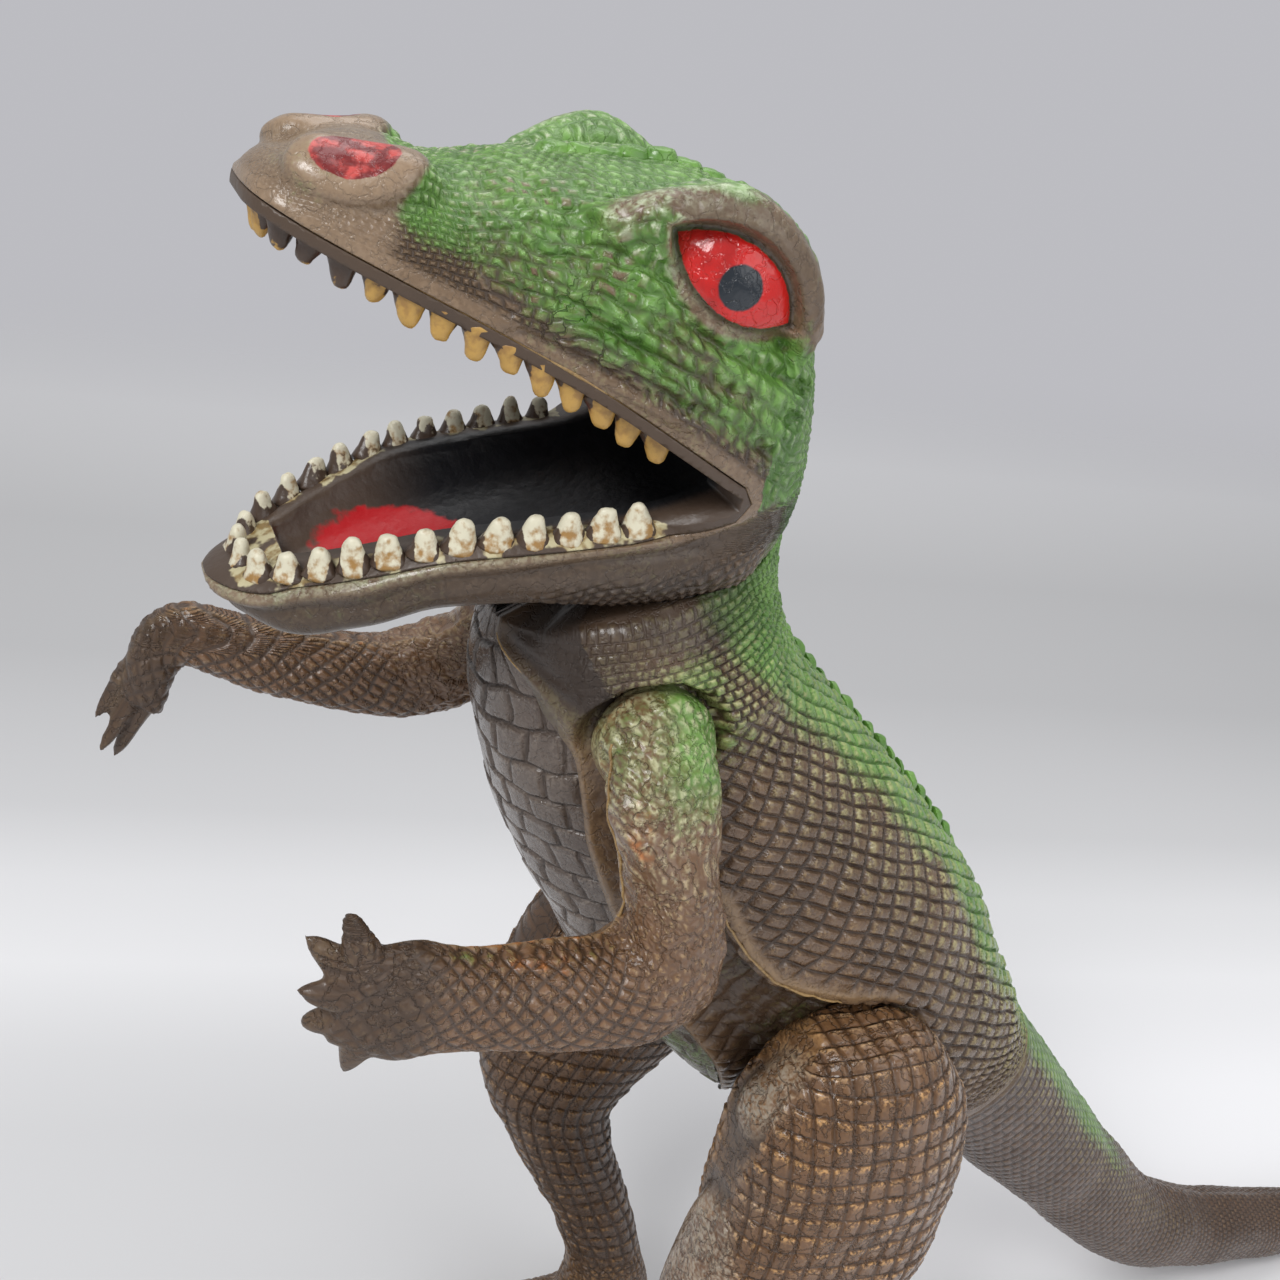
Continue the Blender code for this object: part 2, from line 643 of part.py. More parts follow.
def boss_radius(plug_radius, rim):
    """Outer radius of the wall that houses a plug's head."""
    return plug_radius + rim + SHELL_WALL + BOSS_CLEARANCE


def disc(name, swivel, radius, start, end):
    """A round block along a swivel's axis, between two distances from its plane."""
    return turned(name, ((start, radius), (end, radius)), swivel.origin, swivel.normal)


def groin_block(side, inset, start):
    """Cutter for the hollow under the lip of one flank, no deeper than a place across."""
    outline = [point(*share) for share in GROIN_SHARES]
    middle = middle_of(outline)
    outline = [place + (place - middle).normalized() * inset for place in outline]
    low, high = sorted((start, side * HEAD_LENGTH))
    depth = inset + GROIN_DEPTH
    floor = form("floor", TORSO_SHARES, TORSO_SEGMENTS, inset=depth, squareness=2.2, open_ends=(0, -1))
    return cut_flush(prism("groin", outline, low, high), floor, "DIFFERENCE")


def torso_solid(name, inset, neck, tail, shoulders, hips):
    """Body with its four limb facets, or the hollow inside it."""
    body = form(name, TORSO_SHARES, TORSO_SEGMENTS, inset=inset, squareness=2.2, open_ends=(0, -1))
    reach = 0.5 * HEAD_LENGTH
    shoulder_boss = boss_radius(SHOULDER_PLUG_RADIUS, SHOULDER_HEAD_RIM)
    hip_boss = HIP_BOSS_SHARE * HEAD_LENGTH - inset
    recess = THIGH_DISC_SHARE * HEAD_LENGTH + HIP_RECESS_GAP + inset
    clear = shoulder_boss + HIP_RECESS_GAP + inset
    face = -inset - SWIVEL_GAP / 2
    across = 2 * HIP_PLANE_SHARE * HEAD_LENGTH
    cut_flush(body, disc("boss", hips[1], hip_boss, -across - CUT_OVERRUN, CUT_OVERRUN), "UNION")
    for side in (-1, 1):
        shoulder = shoulders[side]
        cut_flush(body, disc("boss", shoulder, shoulder_boss - inset, -shoulder_boss, CUT_OVERRUN), "UNION")
        cut_flush(body, disc("facet", shoulder, clear, face, reach), "DIFFERENCE")
        cut_flush(body, disc("recess", hips[side], recess, face, reach), "DIFFERENCE")
        cut_flush(body, groin_block(side, inset, hips[side].origin.x + side * face), "DIFFERENCE")
    cut_flush(body, neck.carrying_side(inset), "INTERSECT")
    return cut_flush(body, tail.carrying_side(inset), "INTERSECT")


def seam_block(name, sign, low, high):
    """Block in front of the belly seam (sign 1) or behind it (sign -1), between two places across."""
    shift = Vector((0, -sign, -sign)) * SEAM_GAP / 2
    line = [point(*share) + shift for share in BELLY_SEAM_SHARES]
    far = 4 * HEAD_LENGTH
    top = line[0] + Vector((0, 0, HEAD_LENGTH))
    ends = [Vector((0, line[-1].y - sign * far, line[-1].z)), Vector((0, top.y - sign * far, top.z)), top]
    return prism(name, line + ends, low, high)


def torso_shells(neck, tail, shoulders, hips):
    """Two side shells and the belly shell, which is set in behind their edges."""
    pieces = (("torso_left_shell", -1, SEAM_GAP / 2, HEAD_LENGTH, 0.0),
              ("torso_right_shell", -1, -HEAD_LENGTH, -SEAM_GAP / 2, 0.0),
              ("belly_shell", 1, -HEAD_LENGTH, HEAD_LENGTH, BELLY_SET_IN))
    shells = []
    for name, sign, low, high, set_in in pieces:
        shell = torso_solid(name, set_in, neck, tail, shoulders, hips)
        cut_flush(shell, seam_block("block", sign, low, high), "INTERSECT")
        hollow = torso_solid("hollow", set_in + SHELL_WALL, neck, tail, shoulders, hips)
        cut_flush(shell, hollow, "DIFFERENCE")
        for swivel in (neck, tail, *shoulders.values(), *hips.values()):
            cut_flush(shell, swivel.bore(), "DIFFERENCE")
        shells.append(shell)
    return shells


def clear_of(limb, swivel, radius, offset):
    """Cut a limb flat at its swivel: all along the plane, or only within a radius where one is set."""
    if not radius:
        return cut_flush(limb, swivel.moving_side(offset), "INTERSECT")
    reach = 0.5 * HEAD_LENGTH
    round_cut = disc("clear", swivel, radius + offset, -reach, SWIVEL_GAP / 2 + offset)
    return cut_flush(limb, round_cut, "DIFFERENCE")


def limb_shell(name, shares, segments, side, swivel, boss, extras=(), open_ends=(), clear=0.0):
    """A hollow limb with a flat wall at its swivel."""
    shell = form(name, shares, segments, side, squareness=2.3, open_ends=open_ends)
    hollow = form(name + "_hollow", shares, segments, side, SHELL_WALL, 2.3, open_ends)
    if boss:
        cut_flush(shell, disc("boss", swivel, boss, -CUT_OVERRUN, boss), "UNION")
        cut_flush(hollow, disc("boss", swivel, boss - SHELL_WALL, -CUT_OVERRUN, boss), "UNION")
    for extra in extras:
        cut_flush(shell, extra, "UNION")
    clear_of(shell, swivel, clear, 0.0)
    clear_of(hollow, swivel, clear, SHELL_WALL)
    cut_flush(shell, hollow, "DIFFERENCE")
    return cut_flush(shell, swivel.bore(), "DIFFERENCE")


def arm_halves(side, swivel):
    """Outer and inner half of an arm, with the digits of its hand."""
    word = "left" if side > 0 else "right"
    shares = LEFT_ARM_SHARES if side > 0 else RIGHT_ARM_SHARES
    digits = LEFT_DIGIT_SHARES if side > 0 else RIGHT_DIGIT_SHARES
    slope = LEFT_ARM_SEAM_SLOPE_SHARE if side > 0 else RIGHT_ARM_SEAM_SLOPE_SHARE
    extras = []
    for place, (root, tip, radius) in enumerate(digits):
        spread = DIGIT_SPREAD_SHARE * (place % 2)
        start = point(*root, side * HAND_ACROSS_SHARE)
        end = point(*tip, side * (HAND_ACROSS_SHARE - spread))
        extras.append(cone("digit", start, end, radius * HEAD_LENGTH, DIGIT_SEGMENTS))
    boss = boss_radius(SHOULDER_PLUG_RADIUS, SHOULDER_HEAD_RIM)
    arm = limb_shell("arm", shares, ARM_SEGMENTS, side, swivel, boss, extras)
    middle = point(*SHOULDER_SHARE, side * ARM_SEAM_MIDDLE_SHARE)
    normal = Vector((side, slope[0], -slope[1]))
    return split(arm, word + "_arm_outer_half", word + "_arm_inner_half", middle, normal)


def foot_parts(side, ankle):
    """Foot and toes of one leg, flat underneath."""
    forward, across = ankle
    rings = []
    for along, height, half in FOOT_SHARES:
        sole = ((forward + along, -SOLE_SINK_SHARE), (forward + along, height), side * across, half)
        ring = section_ring(sole, LEG_SEGMENTS, 1, 0.0, 2.6)
        rings.append(ring)
    parts = [loft("foot", rings)]
    for root_forward, root_across, tip_forward, tip_across, radius in TOE_SHARES:
        root = point(forward + root_forward, radius, side * (across + root_across))
        tip = point(forward + tip_forward, 0.35 * radius, side * (across + tip_across))
        parts.append(cone("toe", root, tip, radius * HEAD_LENGTH, DIGIT_SEGMENTS + 2, 0.3))
    return parts


def leg_halves(side, swivel):
    """Outer and inner half of a leg, with its foot."""
    word = "left" if side > 0 else "right"
    shares = LEFT_LEG_SHARES if side > 0 else RIGHT_LEG_SHARES
    ankle = LEFT_ANKLE_SHARE if side > 0 else RIGHT_ANKLE_SHARE
    boss = boss_radius(HIP_PLUG_RADIUS, HIP_HEAD_RIM)
    leg = limb_shell("leg", shares, LEG_SEGMENTS, side, swivel, boss, foot_parts(side, ankle),
                     clear=LEG_CLEAR_SHARE * HEAD_LENGTH)
    cut_flush(leg, half_space("floor", Vector(), Vector((0, 0, 1))), "INTERSECT")
    (top_across, top_up), (low_across, low_up) = LEFT_LEG_SEAM_SHARE if side > 0 else RIGHT_LEG_SEAM_SHARE
    slope = (top_across - low_across) / (top_up - low_up)
    return split(leg, word + "_leg_outer_half", word + "_leg_inner_half",
                 point(0.0, top_up, side * top_across), Vector((side, 0, -slope)))


def tail_halves(swivel):
    """Left and right half of the tail."""
    tail = limb_shell("tail", TAIL_SHARES, TAIL_SEGMENTS, 1, swivel, 0.0, open_ends=(0,))
    return split(tail, "tail_left_half", "tail_right_half", Vector(), Vector((1, 0, 0)))


def bounds(objects):
    """Least and greatest corner of some objects, in the world."""
    bpy.context.view_layer.update()
    corners = [obj.matrix_world @ vertex.co for obj in objects for vertex in obj.data.vertices]
    low = Vector(min(place[axis] for place in corners) for axis in range(3))
    high = Vector(max(place[axis] for place in corners) for axis in range(3))
    return low, high


def main():
    """Build every shell and plug and hang them from their joints."""
    clear_scene()
    neck = neck_swivel()
    tail = tail_swivel()
    sides = (-1, 1)
    shoulder = (SHOULDER_SHARE, SHOULDER_PLANE_SHARE * HEAD_LENGTH)
    hip = (HIP_SHARE, HIP_PLANE_SHARE * HEAD_LENGTH)
    rims = (SHOULDER_PLUG_RADIUS, SHOULDER_HEAD_RIM)
    shoulders = {side: side_swivel(*shoulder, side, *rims) for side in sides}
    hips = {side: side_swivel(*hip, side, HIP_PLUG_RADIUS, HIP_HEAD_RIM) for side in sides}

    root = joint_empty("figure", Vector())
    groups = [(root, Vector(), [(shell, "brown") for shell in torso_shells(neck, tail, shoulders, hips)])]

    empty = joint_empty("neck_joint", neck.origin, root)
    head = [(shell, "green") for shell in head_shells(neck)]
    head += [(mouth_liner("mouth_liner"), "mouth"), (neck.plug("neck_plug"), "plug")]
    groups.append((empty, neck.origin, head))

    for side, word in ((1, "left"), (-1, "right")):
        empty = joint_empty(word + "_shoulder_joint", shoulders[side].origin, root)
        arm = [(half, "brown") for half in arm_halves(side, shoulders[side])]
        arm.append((shoulders[side].plug(word + "_shoulder_plug"), "plug"))
        groups.append((empty, shoulders[side].origin, arm))
        empty = joint_empty(word + "_hip_joint", hips[side].origin, root)
        leg = [(half, "brown") for half in leg_halves(side, hips[side])]
        leg.append((hips[side].plug(word + "_hip_plug"), "plug"))
        groups.append((empty, hips[side].origin, leg))

    empty = joint_empty("tail_joint", tail.origin, root)
    pieces = [(half, "brown") for half in tail_halves(tail)]
    pieces.append((tail.plug("tail_plug"), "plug"))
    groups.append((empty, tail.origin, pieces))

    shells = [finish(obj, kind, parent, origin) for parent, origin, pieces in groups for obj, kind in pieces]
    low, high = bounds(shells)
    root.location = Vector((-(low.x + high.x) / 2, -(low.y + high.y) / 2, -low.z))
    bpy.context.view_layer.update()
    for parent, _, _ in groups:
        place = parent.matrix_world.translation
        print(parent.name, "stands at", [round(value, 5) for value in place])
    print("neck axis", [round(value, 5) for value in neck.normal])
    print("tail axis", [round(value, 5) for value in tail.normal])
    print("size", [round(value, 5) for value in high - low])


if __name__ == "__main__":
    main()
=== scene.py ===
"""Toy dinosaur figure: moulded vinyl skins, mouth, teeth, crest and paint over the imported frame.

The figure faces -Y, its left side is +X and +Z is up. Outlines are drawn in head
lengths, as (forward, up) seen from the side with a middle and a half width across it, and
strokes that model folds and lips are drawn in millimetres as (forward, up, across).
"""

import json
import logging
import math
from dataclasses import dataclass, field
from enum import Enum
from typing import Any, Callable, Dict, List, Optional, Sequence, Tuple, Union

import bmesh
import bpy
import numpy as np
from mathutils import Matrix, Vector


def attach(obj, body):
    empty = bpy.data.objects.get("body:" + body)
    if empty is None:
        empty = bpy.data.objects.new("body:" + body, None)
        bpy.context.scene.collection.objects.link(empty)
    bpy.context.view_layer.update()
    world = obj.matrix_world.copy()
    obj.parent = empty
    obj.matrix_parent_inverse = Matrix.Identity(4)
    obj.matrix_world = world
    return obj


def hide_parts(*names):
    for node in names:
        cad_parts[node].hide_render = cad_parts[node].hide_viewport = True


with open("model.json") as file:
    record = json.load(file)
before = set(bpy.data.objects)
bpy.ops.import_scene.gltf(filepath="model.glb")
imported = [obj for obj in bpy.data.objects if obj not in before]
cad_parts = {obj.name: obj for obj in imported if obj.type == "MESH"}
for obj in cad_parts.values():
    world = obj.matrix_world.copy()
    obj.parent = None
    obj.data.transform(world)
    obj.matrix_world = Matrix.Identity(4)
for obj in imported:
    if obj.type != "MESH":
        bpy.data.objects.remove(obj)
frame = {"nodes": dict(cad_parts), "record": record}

LOG = logging.getLogger("figure")
HEAD = 0.100
MM = 0.001
HIP_PLACE = Vector((0.26, 0.15, 1.32)) * HEAD
SHOULDER = (36, 222)
JAW_SPLIT = 268

Triple = Tuple[float, float, float]
Colour = Triple
Line = Sequence[Tuple[float, float]]
Section = Tuple[float, float, float, float, float, float]
Stroke = Sequence[Triple]
Faces = List[Tuple[int, ...]]
Piece = bpy.types.Object
Finish = bpy.types.Material


def joint_place(name: str) -> Vector:
    """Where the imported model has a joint, in metres.

    Args:
        name: The joint's name.

    Returns:
        Its place at rest.
    """
    for joint in frame["record"]["behaviour"]["joints"]:
        if joint["name"] == name:
            return Vector(joint["pos_m"])
    raise KeyError(name)


ORIGIN = joint_place("left_hip_swing") - HIP_PLACE


def at(forward: float, up: float, across: float = 0.0) -> Vector:
    """A place in the world from shares of the head length."""
    return ORIGIN + Vector((across, -forward, up)) * HEAD


def spots(stroke: Stroke) -> np.ndarray:
    """World places of a stroke that is drawn in millimetres as (forward, up, across)."""
    rows = np.array(stroke, dtype=float) * MM
    return np.stack([rows[:, 2] + ORIGIN.x, -rows[:, 0] + ORIGIN.y, rows[:, 1] + ORIGIN.z], axis=1)


def local(points: np.ndarray) -> np.ndarray:
    """World places as millimetres (forward, up, distance from the middle plane)."""
    aside = np.abs(points[:, 0] - ORIGIN.x)
    return np.stack([ORIGIN.y - points[:, 1], points[:, 2] - ORIGIN.z, aside], axis=1) / MM


def ease(values: np.ndarray, low: float, high: float) -> np.ndarray:
    """A soft step from 0 at low to 1 at high."""
    share = np.clip((values - low) / (high - low), 0.0, 1.0)
    return share * share * (3.0 - 2.0 * share)


def fall(values: np.ndarray, low: float, high: float) -> np.ndarray:
    """A soft step from 1 at low to 0 at high."""
    return ease(-values, -high, -low)


def side_of(points: np.ndarray, line: Line) -> np.ndarray:
    """Signed distance in millimetres to a line seen from the side.

    Args:
        points: Places from local().
        line: Corners (forward, up) of the line.

    Returns:
        Distances, positive on the left of the line's direction.
    """
    flat = points[:, :2]
    corners = np.array(line, dtype=float)
    best = np.full(len(flat), 1e9)
    sign = np.ones(len(flat))
    for first, second in zip(corners, corners[1:]):
        run = second - first
        share = np.clip(((flat - first) @ run) / (run @ run), 0.0, 1.0)
        away = flat - (first + share[:, None] * run)
        distance = np.hypot(away[:, 0], away[:, 1])
        cross = run[0] * (flat[:, 1] - first[1]) - run[1] * (flat[:, 0] - first[0])
        nearer = distance < best
        best = np.where(nearer, distance, best)
        sign = np.where(nearer, np.sign(cross), sign)
    return best * sign


def near(points: np.ndarray, stroke: Stroke) -> np.ndarray:
    """Distance in millimetres from places to a stroke, both sides of the figure alike."""
    corners = np.array(stroke, dtype=float)
    best = np.full(len(points), 1e9)
    for first, second in zip(corners, corners[1:]):
        run = second - first
        share = np.clip(((points - first) @ run) / (run @ run), 0.0, 1.0)
        best = np.minimum(best, np.linalg.norm(points - first - share[:, None] * run, axis=1))
    return best


def bump(distance: np.ndarray, width: float) -> np.ndarray:
    """A soft round profile that falls to nothing at about twice its width."""
    return np.exp(-(distance / width) ** 2)


def waves(points: np.ndarray, size: float, seed: int) -> np.ndarray:
    """Smooth uneven values between about -1 and 1, the same in each run.

    Args:
        points: Places in metres.
        size: Length of a wave in metres.
        seed: Seed of its directions.

    Returns:
        One value for each place.
    """
    chance = np.random.default_rng(seed)
    total = np.zeros(len(points))
    for _ in range(9):
        direction = chance.normal(size=3)
        direction *= 2 * math.pi / (size * chance.uniform(0.6, 1.7) * np.linalg.norm(direction))
        total += np.sin(points @ direction + chance.uniform(0, 2 * math.pi))
    return total / 3.2


def smoothed(rows: np.ndarray, steps: int) -> np.ndarray:
    """A smooth curve through rows of numbers, with so many steps from each to the next."""
    ends = np.vstack([2 * rows[0] - rows[1], rows, 2 * rows[-1] - rows[-2]])
    share = np.linspace(0, 1, steps, endpoint=False)[:, None]
    spans = [0.5 * (2 * b + (c - a) * share + (2 * a - 5 * b + 4 * c - d) * share ** 2
            + (3 * b - a - 3 * c + d) * share ** 3)
             for a, b, c, d in zip(ends, ends[1:], ends[2:], ends[3:])]
    return np.vstack([*spans, rows[-1:]])


def run_of(places: np.ndarray) -> np.ndarray:
    """How far along a line each of its places is."""
    return np.concatenate([[0], np.cumsum(np.linalg.norm(np.diff(places, axis=0), axis=1))])


def spaced(rows: np.ndarray, run: np.ndarray, wanted: np.ndarray) -> np.ndarray:
    """Rows of numbers at wanted distances of their run."""
    return np.stack([np.interp(wanted, run, column) for column in rows.T], axis=1)


def tube(rings: int, segments: int) -> Faces:
    """Faces of closed rings in a row, with both ends closed."""
    faces: Faces = []
    for low in range(0, (rings - 1) * segments, segments):
        for turn in range(segments):
            after = (turn + 1) % segments
            faces.append((low + turn, low + after, low + segments + after, low + segments + turn))
    return faces + [tuple(range(segments)), tuple(range((rings - 1) * segments, rings * segments))]


def linked(name: str, data: Optional[bpy.types.ID]) -> Piece:
    """A new object in the scene."""
    obj = bpy.data.objects.new(name, data)
    bpy.context.scene.collection.objects.link(obj)
    return obj


class Spine:
    """A smooth run of cross sections through a table of sections."""

    def __init__(self, table: Sequence[Section], count: int, side: int = 1, squareness: float = 2.3) -> None:
        """Smooth a table and space it evenly along its middle.

        Args:
            table: Sections in head lengths.
            count: How many sections to make.
            side: 1 for the left side, -1 for the right.
            squareness: 2 for ellipses, more for squarer sections.
        """
        dense = smoothed(np.array(table, dtype=float) * np.array([1, 1, 1, 1, side, 1]), 24)
        length = run_of((dense[:, 0:2] + dense[:, 2:4]) / 2)
        rows = spaced(dense, length, np.linspace(0, length[-1], count))
        front = self._world(rows[:, 0], rows[:, 1], rows[:, 4])
        back = self._world(rows[:, 2], rows[:, 3], rows[:, 4])
        self.squareness = squareness
        self.count = count
        self.centre = (front + back) / 2
        self.reach = np.linalg.norm(front - back, axis=1) / 2
        self.along = (front - back) / (2 * self.reach[:, None])
        self.half = np.abs(rows[:, 5]) * HEAD
        normal = np.cross(self.along, [1.0, 0.0, 0.0])
        run = np.gradient(self.centre, axis=0)
        normal *= np.sign(np.sum(normal * run, axis=1))[:, None]
        self.normal = normal / np.linalg.norm(normal, axis=1)[:, None]
        self.step = np.maximum(np.sum(run * self.normal, axis=1), 1e-5)
        self.girth = math.pi * (3 * (self.reach + self.half)
                - np.sqrt((3 * self.reach + self.half) * (self.reach + 3 * self.half)))
        self.length = run_of(self.centre)

    @staticmethod
    def _world(forward: np.ndarray, up: np.ndarray, across: np.ndarray) -> np.ndarray:
        """World places from columns of head lengths."""
        return np.stack([across * HEAD + ORIGIN.x, -forward * HEAD + ORIGIN.y, up * HEAD + ORIGIN.z], axis=1)

    def row(self, index: np.ndarray, values: np.ndarray) -> np.ndarray:
        """Values of the sections at fractional indices."""
        place = np.clip(index, 0, self.count - 1)
        low = np.minimum(place.astype(int), self.count - 2)
        share = place - low
        if values.ndim == 2:
            share = share[:, None]
        return values[low] * (1 - share) + values[low + 1] * share

    def surface(self, index: np.ndarray, angle: np.ndarray) -> np.ndarray:
        """Places on the form at fractional sections and angles, 0 being the front or upper side."""
        power = 2 / self.squareness
        cosine = np.sign(np.cos(angle)) * np.abs(np.cos(angle)) ** power
        sine = np.sign(np.sin(angle)) * np.abs(np.sin(angle)) ** power
        reach = (self.row(index, self.reach) * cosine)[:, None]
        places = self.row(index, self.centre) + self.row(index, self.along) * reach
        places[:, 0] += self.row(index, self.half) * sine
        return places

    def locate(self, points: np.ndarray) -> Tuple[np.ndarray, np.ndarray]:
        """Section index and angle of places near the form.

        Args:
            points: World places.

        Returns:
            Fractional section indices, which run on past both ends, and angles.
        """
        index = np.empty(len(points))
        centre, reach = self.centre[None, ::4], self.reach[None, ::4]
        for start in range(0, len(points), 20000):
            part = points[start:start + 20000]
            gaps = np.linalg.norm(part[:, None, :] - centre, axis=2) / reach
            index[start:start + 20000] = np.argmin(gaps, axis=1) * 4.0
        for _ in range(6):
            away = points - self.row(index, self.centre)
            normal = self.row(index, self.normal)
            move = np.sum(away * normal, axis=1) / self.row(index, self.step)
            index = np.clip(index + np.clip(move, -6, 6) * 0.7, -30, self.count + 30)
        away = points - self.row(index, self.centre)
        along = np.sum(away * self.row(index, self.along), axis=1) / self.row(index, self.reach)
        across = away[:, 0] / self.row(index, self.half)
        return index, np.arctan2(across, along)

    def cells(self, index: np.ndarray, columns: int, aspect: float = 1.0) -> np.ndarray:
        """Row numbers of cells that are as long as they are wide, times an aspect."""
        size = self.girth / columns * aspect
        steps = np.gradient(self.length) / size
        total = np.concatenate([[0], np.cumsum((steps[1:] + steps[:-1]) / 2)])
        beyond = np.clip(index - (self.count - 1), 0, None) * steps[-1] + np.clip(index, None, 0) * steps[0]
        return self.row(index, total) + beyond

    def columns(self, points: np.ndarray, index: np.ndarray, first: int, cell: float) -> np.ndarray:
        """Column numbers that run round the outer half and are mirrored on the inner half.

        Args:
            points: World places.
            index: Their fractional section indices.
            first: Section whose width counts for all the sections before it.
            cell: Width of a cell in metres.

        Returns:
            One number for each place.
        """
        reach = self.row(np.maximum(index, first), self.reach)
        share = np.sum((points - self.row(index, self.centre)) * self.row(index, self.along), axis=1) / reach
        return np.arcsin(np.clip(share, -1.0, 1.0)) * reach / cell

    def mesh(self, segments: int) -> "Soup":
        """The closed form as points and faces."""
        turns = np.arange(segments) * 2 * math.pi / segments
        index, angle = np.meshgrid(np.arange(self.count), turns, indexing="ij")
        places = self.surface(index.ravel().astype(float), angle.ravel())
        return Soup(places, tube(self.count, segments))


@dataclass
class Soup:
    """Points and faces of a form before it becomes an object."""

    points: np.ndarray
    faces: Faces

    def plus(self, other: "Soup") -> "Soup":
        """This form and another in one."""
        shift = len(self.points)
        moved = [tuple(corner + shift for corner in face) for face in other.faces]
        return Soup(np.vstack([self.points, other.points]), self.faces + moved)

    def build(self, name: str) -> Piece:
        """A linked object of this form with its faces outwards."""
        data = bpy.data.meshes.new(name)
        data.from_pydata(self.points.tolist(), [], self.faces)
        work = bmesh.new()
        work.from_mesh(data)
        work.normal_update()
        large = [face for face in work.faces if len(face.verts) > 4]
        bmesh.ops.triangulate(work, faces=large)
        bmesh.ops.recalc_face_normals(work, faces=work.faces[:])
        work.to_mesh(data)
        work.free()
        return linked(name, data)


def tapered(root: Vector, tip: Vector, radius: float, tip_share: float, flat: float = 1.0) -> Soup:
    """A rounded, tapering digit or claw.

    Args:
        root: Middle of its root.
        tip: Its tip.
        radius: Radius at the root, in metres.
        tip_share: Radius near the tip as a share of the root's.
        flat: Thickness across the figure as a share of its height.

    Returns:
        The closed form.
    """
    rings, segments = 10, 14
    direction = (tip - root).normalized()
    up = direction.cross(Vector((1, 0, 0))).normalized()
    side = up.cross(direction)
    places = []
    for step in range(rings):
        share = step / (rings - 1)
        size = radius * ((1 - share) + tip_share * share)
        size *= math.sqrt(max(1 - max((share - 0.72) / 0.28, 0) ** 2, 0.01))
        for turn in range(segments):
            angle = 2 * math.pi * turn / segments
            offset = up * (size * math.cos(angle)) + side * (size * flat * math.sin(angle))
            places.append(root.lerp(tip, share) + offset)
    return Soup(np.array(places), tube(rings, segments))


def evaluated(obj: Piece) -> Piece:
    """Turn an object's live modifiers into its plain mesh."""
    bpy.context.view_layer.update()
    result = bpy.data.meshes.new_from_object(obj.evaluated_get(bpy.context.evaluated_depsgraph_get()))
    obj.modifiers.clear()
    old = obj.data
    obj.data = result
    bpy.data.meshes.remove(old)
    return obj


def fused(obj: Piece, voxel: float, rounds: int) -> Piece:
    """Melt overlapping forms into one even skin.

    Args:
        obj: Object of overlapping closed forms.
        voxel: Size of the new faces, in metres.
        rounds: How many smoothing steps follow.

    Returns:
        The same object.
    """
    melt = obj.modifiers.new("melt", "REMESH")
    melt.mode = "VOXEL"
    melt.voxel_size = voxel
    soften = obj.modifiers.new("soften", "SMOOTH")
    soften.factor = 0.5
    soften.iterations = rounds
    return evaluated(obj)


def cut(obj: Piece, tool: Piece, operation: str) -> Piece:
    """Apply one Boolean step and drop its tool."""
    step = obj.modifiers.new("cut", "BOOLEAN")
    step.operation = operation
    step.solver = "MANIFOLD"
    step.object = tool
    evaluated(obj)
    bpy.data.objects.remove(tool, do_unlink=True)
    return obj


def facing(place: Vector, direction: Vector) -> Matrix:
    """A place with its Z axis turned to a direction."""
    return Matrix.Translation(place) @ direction.to_track_quat("Z", "Y").to_matrix().to_4x4()


def block(origin: Vector, normal: Vector, size: float = 0.6) -> Piece:
    """A large block on the side of a plane that its normal points to."""
    work = bmesh.new()
    bmesh.ops.create_cube(work, size=size)
    place = facing(origin + normal.normalized() * size / 2, normal)
    bmesh.ops.transform(work, matrix=place, verts=work.verts)
    data = bpy.data.meshes.new("block")
    work.to_mesh(data)
    work.free()
    return linked("block", data)


def vectors(items: bpy.types.bpy_prop_collection, name: str) -> np.ndarray:
    """One vector of each item of a mesh."""
    values = np.empty(len(items) * 3)
    items.foreach_get(name, values)
    return values.reshape(-1, 3)


def points_of(obj: Piece) -> np.ndarray:
    """World places of an object's points."""
    return vectors(obj.data.vertices, "co")


def move_to(obj: Piece, points: np.ndarray) -> None:
    """Put an object's points at new places."""
    obj.data.vertices.foreach_set("co", points.ravel())
    obj.data.update()


def push(obj: Piece, amount: np.ndarray) -> None:
    """Move points along their normals by millimetres."""
    move_to(obj, points_of(obj) + vectors(obj.data.vertex_normals, "vector") * (amount * MM)[:, None])


def note(obj: Piece, **marks: np.ndarray) -> None:
    """Store one number for each point under each name."""
    for name, values in marks.items():
        attribute = obj.data.attributes.new(name, "FLOAT", "POINT")
        attribute.data.foreach_set("value", np.asarray(values, dtype=np.float32))


Number = Union[float, "Wire"]


def math_node(operation: str, swapped: bool = False) -> Callable[..., "Wire"]:
    """A method of Wire that adds one Math node.

    Args:
        operation: What the node works out.
        swapped: Whether the other value comes first, as in a reflected operator.

    Returns:
        The method.
    """
    def method(self: "Wire", other: Number = 0.0) -> "Wire":
        """Add the node."""
        pair = (other, self) if swapped else (self, other)
        return self.graph.node("ShaderNodeMath", {"operation": operation}, dict(enumerate(pair)))
    return method


